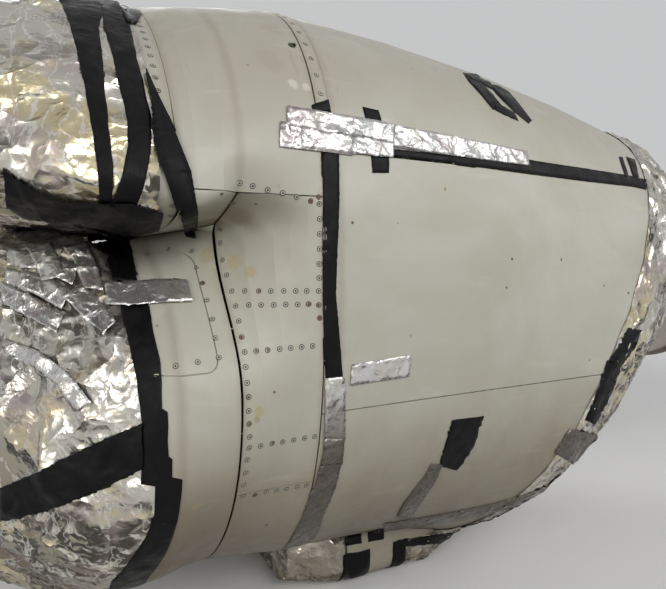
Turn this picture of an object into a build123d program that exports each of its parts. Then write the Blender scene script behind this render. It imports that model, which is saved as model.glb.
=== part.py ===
"""Turboprop power unit: engine, reduction gearbox and cowling, wrapped in foil and tape for storage.

Millimetres. +X runs aft, +Y to starboard and +Z up. The origin is on the propeller shaft's axis,
at the middle of the propeller's seat. The cowling's outlines are worked out from a datum of their
own: the front edge of the side doors, on the nacelle's centre line.
"""

import os
from dataclasses import astuple, dataclass
from math import cos, hypot, pi, radians, sin, sqrt, tan

from build123d import *

# Datum of the cowling, from the propeller's seat
DOOR_FRONT_X = 700.0
COWL_Z = 290.0

# Skins, seams and fits
SKIN = 3.0
SEAM = 2.5
LAP_SEAM = 0.8
SEAT = 0.3
RUNNING = 0.05

# Main body outline at the doors' front edge and at the canted aft edge
BODY_WIDTH_FRONT = 637.5
BODY_WIDTH_AFT = 641.5
BODY_HEIGHT_FRONT = 700.0
BODY_HEIGHT_AFT = 684.0
BODY_DROP_AFT = 119.0
BODY_POWER_FRONT = 2.79
BODY_POWER_AFT = 2.39
BODY_LENGTH = 1288.7
CANT = 0.529

# Seams, as distances along X and heights from the cowling's datum
NOSE_SEAM_X = -170.0
SCOOP_SEAM_X = -280.0
NOSE_RING_X = -380.0
LIP_X = -600.0
SHOULDER_Z = 205.0
VALLEY_AFT_Z = 150.0
VALLEY_FRONT_Z = 127.0
NOSE_TOP_Z = 98.0
LIP_TOP_Z = 80.0
MOUNT_PANEL_FOOT_Z = -380.0
DOOR_TOP_Z = 297.0
DOOR_HINGE_Z = -228.0
DOOR_FOOT_Z = -610.0
SPLICE_WIDTH = 34.0
VALLEY_DEPTH = 370.0
VALLEY_GROWTH = 1.5
VALLEY_HEIGHT_ABOVE = 72.0
VALLEY_HEIGHT_BELOW = 330.0
VALLEY_POWER_AFT = 1.3
VALLEY_POWER_GAIN = 3.7
VALLEY_POWER_BELOW = 2.4
LIP_TURN = 14.0

# Cheek access panel on the nose cowl
CHEEK_FRONT_X = -345.0
CHEEK_AFT_X = -208.0
CHEEK_TOP_Z = 92.0
CHEEK_FOOT_Z = -125.0
CHEEK_CORNER = 24.0
CHEEK_LAND = 18.0
CHEEK_BACKING = 6.0

# Frames, longerons and engine mounts
FRAME_LENGTH = 30.0
FRAME_WEB = 4.0
FRAME_FLANGE = 3.0
FRAME_POINTS = 96
FRAME_SEAT = 0.9
AFT_FRAME_DEPTH = 95.0
LONGERON_HEIGHT = 64.0
LONGERON_WIDTH = 26.0
LONGERON_WALL = 4.0
LONGERON_FRONT_Y = 583.0
LONGERON_Z = 275.0
ATTACH_BOSS_RADIUS = 27.0
ATTACH_BOSS_LENGTH = 60.0
ATTACH_BOSS_ROOT = 30.0
ATTACH_BOSS_INSET = 14.0
ATTACH_BOLT_RADIUS = 12.5
ATTACH_BOLT_DEPTH = 45.0
ATTACH_FOOT_Z = -540.0
HOIST_X = -19.5
HOIST_Y = 512.0
HOIST_HOLE_RADIUS = 9.0
HOIST_BOSS_RADIUS = 12.0
HOIST_BOSS_LENGTH = 36.0
HOIST_BORE_RADIUS = 8.0
HOIST_BORE_DEPTH = 28.0
MOUNT_THICKNESS = 20.0
MOUNT_ROOT_HEIGHT = 190.0
MOUNT_TIP_HEIGHT = 110.0
MOUNT_OUTER_Y = 606.0
MOUNT_BUSH_RADIUS = 38.0
MOUNT_PAD_Y = 252.0
MOUNT_PAD_HEIGHT = 130.0

# Oil cooler under the belly, from the propeller's seat
COOLER_X = (800.0, 1000.0, 1250.0, 1430.0)
COOLER_HALF_WIDTH = (235.0, 285.0, 285.0, 240.0)
COOLER_FOOT_Z = (-545.0, -572.0, -572.0, -545.0)
COOLER_HEAD_Z = (-380.0, -400.0, -400.0, -400.0)
COOLER_CORNER = 60.0
CORE_LENGTH = 170.0
CORE_WIDTH = 430.0
CORE_HEIGHT = 62.0
CORE_X = 1095.0
CORE_SLOTS = 12
CORE_PITCH = 32.0
FLAP_X = (1312.0, 1420.0)
FLAP_HALF_WIDTH = 165.0

# Power section
POWER_AXIS_Z = 264.0
CASE_WALL = 6.0
FLANGE_RISE = 16.0
FLANGE_LENGTH = 10.0
SHAFT_RADIUS = 42.0
TORQUE_TUBE_RADIUS = 64.0
INLET_X = 1160.0
INLET_LENGTH = 190.0
INLET_HUB_RADIUS = 92.0
INLET_FLANGE_RADIUS = 290.0
INLET_STRUTS = 6
COMPRESSOR_LENGTH = 600.0
COMPRESSOR_RADIUS = 250.0
COMPRESSOR_RIBS = 6
COMPRESSOR_STAGES = 8
COMPRESSOR_BLADES = 11
DRUM_FRONT_RADIUS = 120.0
DRUM_AFT_RADIUS = 185.0
DIFFUSER_LENGTH = 120.0
COMBUSTOR_LENGTH = 580.0
COMBUSTOR_RADIUS = 325.0
TURBINE_LENGTH = 380.0
TURBINE_RADIUS = 305.0
TURBINE_HUB_RADIUS = 190.0
TURBINE_STAGES = 4
TURBINE_BLADES = 16
EXHAUST_LENGTH = 240.0
EXHAUST_RADIUS = 270.0
EXHAUST_HUB_RADIUS = 150.0
EXHAUST_STRUTS = 6
LINER_COUNT = 6
LINER_RADIUS = 76.0
LINER_LENGTH = 470.0
BLADE_GAP = 3.0
BLADE_THICKNESS = 6.0
HUB_GAP = 2.0

# Tie struts between the gearbox and the inlet housing
STRUT_RADIUS = 14.0
STRUT_FRONT = (196.0, 95.0)
STRUT_AFT = (203.0, 89.0)
STRUT_EYE_RADIUS = 18.0
STRUT_EYE_LENGTH = 18.0

# Reduction gear
MAIN_MODULE = 8.0
PINION_TEETH = 16
MAIN_TEETH = 50
MAIN_FACE = 80.0
PLANET_MODULE = 7.0
SUN_TEETH = 16
PLANET_TEETH = 19
RING_TEETH = 54
PLANET_FACE = 80.0
PLANET_COUNT = 5
PRESSURE_ANGLE = 20.0
BACKLASH = 1.6
ADDENDUM = 0.7
DEDENDUM = 1.1
RING_WALL = 14.0
HUB_RADIUS = 40.0
CARRIER_RADIUS = 160.0
CARRIER_PLATE = 22.0
CARRIER_GAP = 10.0
PLANET_FRONT_X = 195.0
MAIN_GEAR_X = 350.0
MAIN_WEB = 24.0
MAIN_WEB_OUTER = 165.0
MAIN_HOLES = 6
MAIN_HOLE_RADIUS = 34.0
PROP_BORE_DEPTH = 160.0
PIN_RADIUS = 18.0
GEARBOX_FRONT_X = 130.0
GEARBOX_SPLIT_X = 330.0
GEARBOX_AFT_X = 520.0
GEARBOX_WALL = 14.0
GEARBOX_ROOM = 9.0
GEARBOX_SHOULDER = 60.0
PINION_CASE_RADIUS = 92.0
FRONT_NECK_RADIUS = 95.0
FRONT_NECK_LENGTH = 40.0
PROP_SHAFT_RADIUS = 60.0
PROP_SHAFT_BORE = 36.0
PROP_SHAFT_TIP_X = -80.0

# Accessories under the inlet housing
ACCESSORY_WIDTH = 220.0
ACCESSORY_HEIGHT = 118.0
ACCESSORY_LENGTH = 150.0
ACCESSORY_PAD_RADIUS = 42.0
ACCESSORY_PAD_LENGTH = 90.0
CONTROL_LENGTH = 150.0
CONTROL_WIDTH = 130.0
CONTROL_HEIGHT = 96.0
LEVER_LENGTH = 110.0
LEVER_THICKNESS = 8.0
LEVER_PIN_RADIUS = 9.0

# Foil wraps and tapes
FOIL = 3.0
FOIL_LIFT = 0.8
BLOCK_LIFT = 0.9
TAPE = 1.0
SCOOP_FOIL_AFT_X = -312.0
NOSE_FOIL_AFT_X = -400.0
AFT_FOIL_LENGTH = 150.0
AFT_FOIL_DRAW = 24.0
COOLER_FOIL_X = (960.0, 1240.0)

OUTLINE_STEPS = 90
FAN_POWER = 0.5

# Longer than any half of the model, for boxes that keep all on one side
REACH = 900.0
STRIP_POINTS = 21
SIDE_POINTS = 25
NOSE_POINTS = 41
RING_POINTS = 28
CLOSE_POINTS = 56


def fan():
    """Angles from crown (90 degrees) to keel (-90), closer together near the level line."""
    angles = []
    for i in range(OUTLINE_STEPS + 1):
        share = 1 - 2 * i / OUTLINE_STEPS
        angles.append(pi / 2 * share * abs(share) ** FAN_POWER)
    return angles


@dataclass
class Lobe:
    """A closed rounded outline, as wide as twice its width at its level."""

    width: float
    level: float
    rise: float
    drop: float
    crown_power: float
    keel_power: float

    def holds(self, y, z):
        """Whether a point is inside the outline."""
        height = z - self.level
        reach, power = (self.rise, self.crown_power) if height > 0 else (self.drop, self.keel_power)
        return (abs(y) / self.width) ** power + (abs(height) / reach) ** power < 1

    def radius(self, pole, angle):
        """Distance from a pole on the centre line to the outline."""
        near = 0.0
        far = 2 * (self.width + self.rise + self.drop)
        for _ in range(36):
            middle = (near + far) / 2
            if self.holds(middle * cos(angle), pole + middle * sin(angle)):
                near = middle
            else:
                far = middle
        return near


def through(x, stations):
    """The outline at x on smooth curves through the outlines at three stations."""
    (x0, a), (x1, b), (x2, c) = stations
    share0 = (x - x1) * (x - x2) / ((x0 - x1) * (x0 - x2))
    share1 = (x - x0) * (x - x2) / ((x1 - x0) * (x1 - x2))
    share2 = (x - x0) * (x - x1) / ((x2 - x0) * (x2 - x1))
    return type(a)(*[
        share0 * value0 + share1 * value1 + share2 * value2
        for value0, value1, value2 in zip(astuple(a), astuple(b), astuple(c))
    ])


SCOOP_STATIONS = [
    (LIP_X, Lobe(560, 222, 425, 62, 1.85, 2.6)),
    (-450, Lobe(612, 203, 480, 65, 1.78, 2.6)),
    (SCOOP_SEAM_X, Lobe(630, 190, 510, 65, 1.70, 2.6)),
]
BOWL_STATIONS = [
    (LIP_X, Lobe(395, -290, 372, 385, 2.0, 2.0)),
    (-490, Lobe(530, -288, 376, 425, 2.1, 2.0)),
    (SCOOP_SEAM_X, Lobe(622, -270, 425, 450, 2.20, 2.0)),
]


# Openings of the frames, as lobes from the cowling's datum
BULKHEAD_UPPER = Lobe(505, 255, 350, 105, 2.0, 2.0)
BULKHEAD_LOWER = Lobe(480, -290, 395, 360, 2.2, 2.0)
MIDDLE_OPENING = Lobe(548, 0, 600, 600, 2.8, 2.6)

# Intake duct: distance from the datum, half width, level, rise and drop
DUCT_SECTIONS = [
    (-560, 480, 245, 330, 60),
    (-280, 480, 260, 330, 70),
    (0, 420, 250, 330, 150),
    (260, 330, 90, 330, 190),
]

# Foil bags ahead of the two mouths: distance from the datum, then a lobe
SCOOP_FOIL_SECTIONS = [
    (-622, 505, 228, 380, 50, 1.9, 2.4),
    (-646, 380, 236, 290, 40, 2.0, 2.2),
    (-658, 180, 250, 150, 24, 2.0, 2.0),
]
NOSE_FOIL_SECTIONS = [
    (-648, 345, -290, 325, 335, 2.0, 2.0),
    (-730, 190, -290, 180, 185, 2.0, 2.0),
    (-800, 105, -290, 100, 100, 2.0, 2.0),
    (-822, 50, -290, 50, 50, 2.0, 2.0),
]

# Tapes on the left doors, as boxes: fore, aft, lower and upper ends
BLACK_DOOR_TAPES = [(22, 70, -222, 290), (520, 680, 190, 290)]
BLACK_LOWER_TAPES = [(345, 440, -430, -290)]
FOIL_DOOR_TAPES = [(74, 210, -175, -120)]
FOIL_LOWER_TAPES = [(22, 70, -520, -240), (310, 350, -560, -430)]


@dataclass
class Hull:
    """An upright-sided outline, arched over its upper level and under its lower one."""

    width: float
    upper_level: float
    rise: float
    crown_power: float
    lower_level: float
    drop: float
    keel_power: float


HULL_STATIONS = [
    (SCOOP_SEAM_X, Hull(630, 190, 510, 1.70, -270, 450, 2.0)),
    (NOSE_SEAM_X, Hull(634, 208, 490, 2.05, -200, 520, 1.95)),
    (0, Hull(BODY_WIDTH_FRONT, 0, BODY_HEIGHT_FRONT, BODY_POWER_FRONT,
             0, BODY_HEIGHT_FRONT, BODY_POWER_FRONT)),
]


@dataclass
class Outline:
    """One half of a section, crown to keel, on its own plane."""

    plane: Plane
    stretch: float
    points: list

    def cut(self, top, foot):
        """The points between two heights, with the ends worked out on the heights themselves."""
        kept = []
        for (y0, z0), (y1, z1) in zip(self.points, self.points[1:]):
            if z0 >= top > z1:
                kept.append((y0 + (y1 - y0) * (z0 - top) / (z0 - z1), top))
            if top > z1 > foot:
                kept.append((y1, z1))
            if z0 > foot >= z1:
                kept.append((y0 + (y1 - y0) * (z0 - foot) / (z0 - z1), foot))
                break
        return kept


def upright_plane(x):
    """The section plane at a distance x aft of the doors' front edge."""
    return Plane(origin=(DOOR_FRONT_X + x, 0, COWL_Z), x_dir=(0, 1, 0), z_dir=(1, 0, 0))


def station_plane(x):
    """The section plane at a distance x aft of the propeller's seat, on the shaft's axis."""
    return Plane(origin=(x, 0, 0), x_dir=(0, 1, 0), z_dir=(1, 0, 0))


def power_plane(x):
    """The section plane at a distance x aft of the propeller's seat, on the power section's axis."""
    return Plane(origin=(x, 0, POWER_AXIS_Z), x_dir=(0, 1, 0), z_dir=(1, 0, 0))


def lobe_outline(lobe, x):
    """Section of a single lobe."""
    points = []
    for angle in fan():
        radius = lobe.radius(lobe.level, angle)
        points.append((radius * cos(angle), lobe.level + radius * sin(angle)))
    return Outline(upright_plane(x), 1, points)


def valley_z(x):
    """Height of the valley between the scoop's corner and the nose."""
    share = min(1, (x - SCOOP_SEAM_X) / (NOSE_SEAM_X - SCOOP_SEAM_X))
    return VALLEY_FRONT_Z + (VALLEY_AFT_Z - VALLEY_FRONT_Z) * share


def valley_share(x, z):
    """How far the valley is filled at a height: 0 at its bottom and 1 clear of it."""
    nose_share = min(1, max(0, (x - NOSE_SEAM_X) / (SCOOP_SEAM_X - NOSE_SEAM_X)))
    bottom = valley_z(x)
    if z >= bottom:
        part = min(1, (z - bottom) / VALLEY_HEIGHT_ABOVE)
        return 1 - (1 - part) ** (VALLEY_POWER_AFT + VALLEY_POWER_GAIN * nose_share)
    part = min(1, (bottom - z) / VALLEY_HEIGHT_BELOW)
    smooth = sin(pi / 2 * part) ** 2
    round_top = 1 - (1 - part) ** VALLEY_POWER_BELOW
    return smooth + (round_top - smooth) * nose_share


def forward_outline(x):
    """Section between the scoop's aft seam and the doors, with the valley along its sides."""
    hull = through(x, HULL_STATIONS)
    quarter = [pi / 2 * i / OUTLINE_STEPS for i in range(OUTLINE_STEPS + 1)]
    crown = [
        (
            hull.width * sin(angle) ** (2 / hull.crown_power),
            hull.upper_level + hull.rise * cos(angle) ** (2 / hull.crown_power),
        )
        for angle in quarter
    ]
    keel = [
        (
            hull.width * cos(angle) ** (2 / hull.keel_power),
            hull.lower_level - hull.drop * sin(angle) ** (2 / hull.keel_power),
        )
        for angle in quarter
    ]
    height = hull.upper_level - hull.lower_level
    steps = 2 * OUTLINE_STEPS if height > 1 else 0
    middle = [(hull.width, hull.upper_level - height * i / steps) for i in range(1, steps)]
    depth = VALLEY_DEPTH * (x / SCOOP_SEAM_X) ** VALLEY_GROWTH
    points = [(y - depth * (1 - valley_share(x, z)), z) for y, z in crown + middle + keel[1:]]
    return Outline(upright_plane(x), 1, points)


def nose_outline(x):
    """Section of the nose, under the scoop and aft of it."""
    if x >= SCOOP_SEAM_X:
        return forward_outline(x)
    return lobe_outline(through(x, BOWL_STATIONS), x)


def scoop_outline(x):
    """Section of the intake scoop."""
    return lobe_outline(through(x, SCOOP_STATIONS), x)


def body_outline(share):
    """Section of the main body, from its front (0) to its canted aft edge (1)."""
    level = -BODY_DROP_AFT * share ** 2
    height = BODY_HEIGHT_FRONT + (BODY_HEIGHT_AFT - BODY_HEIGHT_FRONT) * share ** 2
    width = BODY_WIDTH_FRONT + (BODY_WIDTH_AFT - BODY_WIDTH_FRONT) * share ** 2
    power = BODY_POWER_FRONT + (BODY_POWER_AFT - BODY_POWER_FRONT) * share
    section = lobe_outline(Lobe(width, level, height, height, power, power), 0)
    slope = CANT * share
    section.stretch = sqrt(1 + slope ** 2)
    section.plane = Plane(
        origin=(DOOR_FRONT_X + BODY_LENGTH * share - slope * (level + height), 0, COWL_Z),
        x_dir=(0, 1, 0),
        z_dir=(1, 0, -slope),
    )
    return section


def moved(points, distance):
    """A row of points moved to the left of its own direction."""
    result = []
    for i, (y, z) in enumerate(points):
        y0, z0 = points[max(i - 1, 0)]
        y1, z1 = points[min(i + 1, len(points) - 1)]
        length = hypot(y1 - y0, z1 - z0)
        result.append((y - distance * (z1 - z0) / length, z + distance * (y1 - y0) / length))
    return result


def spaced(points, count):
    """The same row of points as an even row of count points."""
    runs = [0.0]
    for (y0, z0), (y1, z1) in zip(points, points[1:]):
        runs.append(runs[-1] + hypot(y1 - y0, z1 - z0))
    result = []
    j = 0
    for i in range(count):
        goal = runs[-1] * i / (count - 1)
        while j < len(runs) - 2 and runs[j + 1] < goal:
            j += 1
        share = (goal - runs[j]) / (runs[j + 1] - runs[j])
        y0, z0 = points[j]
        y1, z1 = points[j + 1]
        result.append((y0 + share * (y1 - y0), z0 + share * (z1 - z0)))
    return result


def side_row(outline, top, foot, side):
    """One side of a section between two heights: side is -1 on the left and 1 on the right."""
    right = outline.cut(top, foot)
    if side > 0:
        return right
    return [(-y, z) for y, z in reversed(right)]


def crown_row(outline, foot):
    """Over the crown of a section, from foot on the left to foot on the right."""
    right = outline.cut(outline.points[0][1] - 0.01, foot)
    return [(-y, z) for y, z in reversed(right)] + right[1:]


def keel_row(outline, top):
    """Under the keel of a section, from top on the right to top on the left."""
    right = outline.cut(top, outline.points[-1][1] + 0.01)
    return right + [(-y, z) for y, z in reversed(right)][1:]


def strip(outline, row, outer, thickness, count=STRIP_POINTS):
    """A strip of skin on a section: its outer face lies outer from the outline."""
    even = spaced(row, count)
    outside = [(y, z * outline.stretch) for y, z in moved(even, outer)]
    inside = [(y, z * outline.stretch) for y, z in moved(even, outer - thickness)]
    with BuildSketch(outline.plane) as sketch:
        with BuildLine():
            out_line = Spline(*outside)
            in_line = Spline(*inside)
            Line(out_line @ 0, in_line @ 0)
            Line(out_line @ 1, in_line @ 1)
        make_face()
    return sketch.sketch


def whole_face(outline, outer, count=RING_POINTS, straight=False):
    """A whole section, moved outward by outer, as one closed face."""
    right = spaced(moved(outline.points, outer), count // 2 + 1)
    right[0] = (0.0, right[0][1])
    right[-1] = (0.0, right[-1][1])
    ring = right + [(-y, z) for y, z in reversed(right[1:-1])]
    corners = [(y, z * outline.stretch) for y, z in ring]
    with BuildSketch(outline.plane) as sketch:
        with BuildLine():
            if straight:
                Polyline(*corners, close=True)
            else:
                Spline(*corners, periodic=True)
        make_face()
    return sketch.sketch


def shares(first, last, count):
    """Evenly spaced values from first to last."""
    return [first + (last - first) * i / (count - 1) for i in range(count)]


def save(part, name):
    """Label a finished piece and write it."""
    part.label = name
    export_step(part, f"parts/{name}.step")


os.makedirs("parts", exist_ok=True)

# Sections: each run of skin keeps a pair of sections where a frame or a lap lies under it
lap_xs = [SCOOP_SEAM_X + LAP_SEAM, SCOOP_SEAM_X + FRAME_LENGTH]
forward_frame_xs = [NOSE_SEAM_X - SEAM - FRAME_LENGTH, NOSE_SEAM_X - SEAM]
middle_frame_xs = [-SEAM - FRAME_LENGTH, -SEAM]
access_xs = [NOSE_SEAM_X * 0.75, NOSE_SEAM_X / 2, NOSE_SEAM_X * 0.35]
crown_sections = [
    forward_outline(x) for x in lap_xs + forward_frame_xs + access_xs + middle_frame_xs
]
shoulder_sections = [forward_outline(x) for x in lap_xs + forward_frame_xs]
access_sections = [
    forward_outline(x) for x in [NOSE_SEAM_X + SEAM] + access_xs + middle_frame_xs
]
nose_xs = (
    shares(LIP_X + 3 * LIP_TURN, NOSE_RING_X, 4) + shares(NOSE_RING_X, SCOOP_SEAM_X, 3)[1:]
    + [(SCOOP_SEAM_X + NOSE_SEAM_X) / 2 - SEAM] + forward_frame_xs
)
front_share = SEAM / 2 / BODY_LENGTH
splice_shares = [front_share, SPLICE_WIDTH / BODY_LENGTH]
aft_frame_shares = [1 - FRAME_LENGTH * 1.5 / BODY_LENGTH, 1]
middle_shares = [0.25, 0.5, 0.75]
door_sections = [body_outline(s) for s in [front_share] + middle_shares + aft_frame_shares]
crown_aft_sections = [
    body_outline(s)
    for s in [splice_shares[1] + LAP_SEAM / BODY_LENGTH] + middle_shares + aft_frame_shares
]
splice_sections = [body_outline(s) for s in splice_shares]


def seam_x(outline):
    """Distance of an upright section aft of the doors' front edge."""
    return outline.plane.origin.X - DOOR_FRONT_X


def shoulder_row(outline, side):
    """Rounded lower corner of the upper lobe, from the shoulder seam to the valley."""
    foot = valley_z(seam_x(outline)) + SEAM / 2
    return side_row(outline, SHOULDER_Z - SEAM / 2, foot, side)


def nose_row(outline):
    """The nose cowl below the valley, from the right round the keel to the left."""
    x = seam_x(outline)
    if x >= SCOOP_SEAM_X:
        return keel_row(outline, valley_z(x) - SEAM / 2)
    if x >= NOSE_RING_X:
        share = (x - NOSE_RING_X) / (SCOOP_SEAM_X - NOSE_RING_X)
        return keel_row(outline, NOSE_TOP_Z + (VALLEY_FRONT_Z - SEAM / 2 - NOSE_TOP_Z) * share)
    share = (x - LIP_X) / (NOSE_RING_X - LIP_X)
    return keel_row(outline, LIP_TOP_Z + (NOSE_TOP_Z - LIP_TOP_Z) * share)


def access_row(outline, side):
    """The mount access panel."""
    return side_row(outline, SHOULDER_Z - SEAM / 2, MOUNT_PANEL_FOOT_Z + SEAM / 2, side)


# Intake scoop, with a rolled lip
with BuildPart() as scoop_cowl:
    scoop_xs = shares(SCOOP_SEAM_X, LIP_X + 3 * LIP_TURN, 5) + [LIP_X + LIP_TURN]
    loft(
        [whole_face(scoop_outline(x), 0) for x in scoop_xs]
        + [whole_face(scoop_outline(LIP_X), -LIP_TURN / 2)],
        ruled=True,
    )
    loft(
        [whole_face(scoop_outline(x), -SKIN) for x in scoop_xs[:-1]]
        + [whole_face(scoop_outline(x), -LIP_TURN) for x in (LIP_X + LIP_TURN, LIP_X)],
        ruled=True,
        mode=Mode.SUBTRACT,
    )
save(scoop_cowl.part, "scoop_cowl")

# Upper cowl between the scoop and the doors, with the two hoist holes
hoist_points = forward_outline(HOIST_X).points
hoist_i = next(i for i, (y, z) in enumerate(hoist_points) if y >= HOIST_Y)
(before_y, before_z), (hoist_y, hoist_z), (after_y, after_z) = hoist_points[hoist_i - 1:hoist_i + 2]
hoist_planes = [
    Plane(
        origin=(DOOR_FRONT_X + HOIST_X, side * hoist_y, COWL_Z + hoist_z),
        x_dir=(1, 0, 0),
        z_dir=(0, side * (before_z - after_z), after_y - before_y),
    )
    for side in (-1, 1)
]
with BuildPart() as forward_upper_cowl:
    loft([strip(o, crown_row(o, SHOULDER_Z + SEAM / 2), 0, SKIN) for o in crown_sections], ruled=True)
    for plane in hoist_planes:
        with BuildSketch(plane.offset(-4 * SKIN)):
            Circle(HOIST_HOLE_RADIUS)
        extrude(amount=8 * SKIN, mode=Mode.SUBTRACT)
save(forward_upper_cowl.part, "forward_upper_cowl")

# Nose skin: a bowl round the spinner with a rolled lip, parted along its top under the scoop
with BuildPart() as nose_skin:
    lip = nose_outline(LIP_X)
    turn = nose_outline(LIP_X + LIP_TURN)
    loft(
        [strip(lip, nose_row(lip), -LIP_TURN / 2, LIP_TURN / 2, NOSE_POINTS)]
        + [strip(turn, nose_row(turn), 0, LIP_TURN, NOSE_POINTS)]
        + [strip(o, nose_row(o), 0, SKIN, NOSE_POINTS) for o in map(nose_outline, nose_xs)],
        ruled=True,
    )


def cheek_block(side, grow):
    """A block through one side of the nose, as large as the cheek panel grown all round."""
    with BuildPart() as block:
        middle_plane = Plane(origin=(DOOR_FRONT_X, 0, COWL_Z), x_dir=(1, 0, 0), z_dir=(0, side, 0))
        with BuildSketch(middle_plane):
            with Locations((
                (CHEEK_FRONT_X + CHEEK_AFT_X) / 2, -side * (CHEEK_TOP_Z + CHEEK_FOOT_Z) / 2,
            )):
                RectangleRounded(
                    CHEEK_AFT_X - CHEEK_FRONT_X + 2 * grow,
                    CHEEK_TOP_Z - CHEEK_FOOT_Z + 2 * grow,
                    CHEEK_CORNER + grow,
                )
        extrude(amount=BODY_WIDTH_FRONT)
    return block.part


# The nose cowl proper, with a recessed land round each cheek window
cheek_sections = [nose_outline(x) for x in nose_xs if x >= NOSE_RING_X]
backing_end = nose_outline(forward_frame_xs[0] - SEAT)
with BuildPart() as cheek_backing:
    loft([
        strip(o, nose_row(o), -SKIN / 3, CHEEK_BACKING - SKIN / 3, NOSE_POINTS)
        for o in [o for o in cheek_sections if seam_x(o) < seam_x(backing_end)] + [backing_end]
    ], ruled=True)
with BuildPart() as cheek_recess:
    loft([
        strip(o, nose_row(o), SKIN, 2 * SKIN + SEAT, NOSE_POINTS) for o in cheek_sections
    ], ruled=True)
with BuildPart() as nose_cowl:
    add(nose_skin.part)
    for side in (-1, 1):
        land = cheek_backing.part.intersect(cheek_block(side, CHEEK_LAND))
        recess = cheek_recess.part.intersect(cheek_block(side, SEAM / 2))
        add(land)
        add(recess, mode=Mode.SUBTRACT)
        add(cheek_block(side, -CHEEK_LAND), mode=Mode.SUBTRACT)
save(nose_cowl.part, "nose_cowl")

# Panels that come in pairs
for side, name in ((-1, "left"), (1, "right")):
    with BuildPart() as cheek_panel:
        add(nose_skin.part)
        add(cheek_block(side, -SEAM / 2), mode=Mode.INTERSECT)
    save(cheek_panel.part, f"{name}_cheek_panel")

    with BuildPart() as shoulder_panel:
        loft([strip(o, shoulder_row(o, side), 0, SKIN) for o in shoulder_sections], ruled=True)
    save(shoulder_panel.part, f"{name}_shoulder_panel")

    with BuildPart() as mount_access_panel:
        loft([strip(o, access_row(o, side), 0, SKIN, SIDE_POINTS) for o in access_sections], ruled=True)
    save(mount_access_panel.part, f"{name}_mount_access_panel")

    with BuildPart() as cowl_door:
        loft([
            strip(o, side_row(o, DOOR_TOP_Z - SEAM / 2, DOOR_HINGE_Z + SEAM / 2, side), 0, SKIN)
            for o in door_sections
        ], ruled=True)
    save(cowl_door.part, f"{name}_cowl_door")

    with BuildPart() as lower_door:
        loft([
            strip(o, side_row(o, DOOR_HINGE_Z - SEAM / 2, DOOR_FOOT_Z + SEAM / 2, side), 0, SKIN)
            for o in door_sections
        ], ruled=True)
    save(lower_door.part, f"{name}_lower_door")

with BuildPart() as forward_lower_cowl:
    loft([
        strip(o, keel_row(o, MOUNT_PANEL_FOOT_Z - SEAM / 2), 0, SKIN, SIDE_POINTS) for o in access_sections
    ], ruled=True)
save(forward_lower_cowl.part, "forward_lower_cowl")

with BuildPart() as splice_band:
    loft([strip(o, crown_row(o, DOOR_TOP_Z + SEAM / 2), 0, SKIN) for o in splice_sections], ruled=True)
save(splice_band.part, "splice_band")

with BuildPart() as upper_cowl:
    loft(
        [strip(o, crown_row(o, DOOR_TOP_Z + SEAM / 2), 0, SKIN) for o in crown_aft_sections],
        ruled=True,
    )
save(upper_cowl.part, "upper_cowl")

with BuildPart() as lower_cowl:
    loft([strip(o, keel_row(o, DOOR_FOOT_Z - SEAM / 2), 0, SKIN) for o in door_sections], ruled=True)
save(lower_cowl.part, "lower_cowl")


def frame_body(sections, web_first, openings):
    """An angle-section frame under the skin: a flange and, at one of its ends, a web."""
    near, far = sections if web_first else reversed(sections)
    inward = 1 if web_first else -1
    web_back = Outline(near.plane.offset(inward * FRAME_WEB), near.stretch, near.points)
    beyond = Outline(far.plane.offset(inward * FRAME_WEB), far.stretch, far.points)
    lift = -SKIN - FRAME_SEAT
    loft([whole_face(o, lift, FRAME_POINTS, True) for o in (near, far)], ruled=True)
    loft(
        [whole_face(o, lift - FRAME_FLANGE, FRAME_POINTS, True) for o in (web_back, beyond)],
        ruled=True, mode=Mode.SUBTRACT,
    )
    for opening in openings:
        extrude(opening, amount=inward * FRAME_WEB, mode=Mode.SUBTRACT)


# Forward frame: a bulkhead under the aft ends of the nose cowl and of the shoulder panels
forward_frame_sections = [forward_outline(x) for x in forward_frame_xs]
with BuildPart() as forward_frame:
    frame_body(forward_frame_sections, True, [
        whole_face(lobe_outline(lobe, forward_frame_xs[0]), 0)
        for lobe in (BULKHEAD_UPPER, BULKHEAD_LOWER)
    ])
    clear = 2 * SKIN + SEAT
    for rows, count in (
        ([crown_row(o, SHOULDER_Z + SEAM / 2) for o in forward_frame_sections], STRIP_POINTS),
        ([shoulder_row(o, -1) for o in forward_frame_sections], STRIP_POINTS),
        ([shoulder_row(o, 1) for o in forward_frame_sections], STRIP_POINTS),
        ([nose_row(o) for o in forward_frame_sections], NOSE_POINTS),
    ):
        loft([
            strip(o, row, SKIN, clear, count) for o, row in zip(forward_frame_sections, rows)
        ], ruled=True, mode=Mode.SUBTRACT)
save(forward_frame.part, "forward_frame")

# Middle frame, under the aft ends of the access panels, with the two hoist sockets
middle_frame_sections = [forward_outline(x) for x in middle_frame_xs]
middle_web = middle_frame_sections[-1]
with BuildPart() as middle_frame:
    frame_body(middle_frame_sections, False, [
        whole_face(lobe_outline(MIDDLE_OPENING, middle_frame_xs[-1]), 0)
    ])
    for plane in hoist_planes:
        mouth = plane.offset(-SKIN - FRAME_SEAT - FRAME_FLANGE / 2)
        with BuildSketch(mouth):
            Circle(HOIST_BOSS_RADIUS)
        extrude(amount=-HOIST_BOSS_LENGTH)
        with BuildSketch(mouth.offset(FRAME_FLANGE)):
            Circle(HOIST_BORE_RADIUS)
        extrude(amount=-HOIST_BORE_DEPTH - FRAME_FLANGE, mode=Mode.SUBTRACT)
save(middle_frame.part, "middle_frame")

# Aft frame on the canted plane, with its four attachment bosses
aft_frame_sections = [body_outline(s) for s in aft_frame_shares]
aft_web = aft_frame_sections[0]


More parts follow.
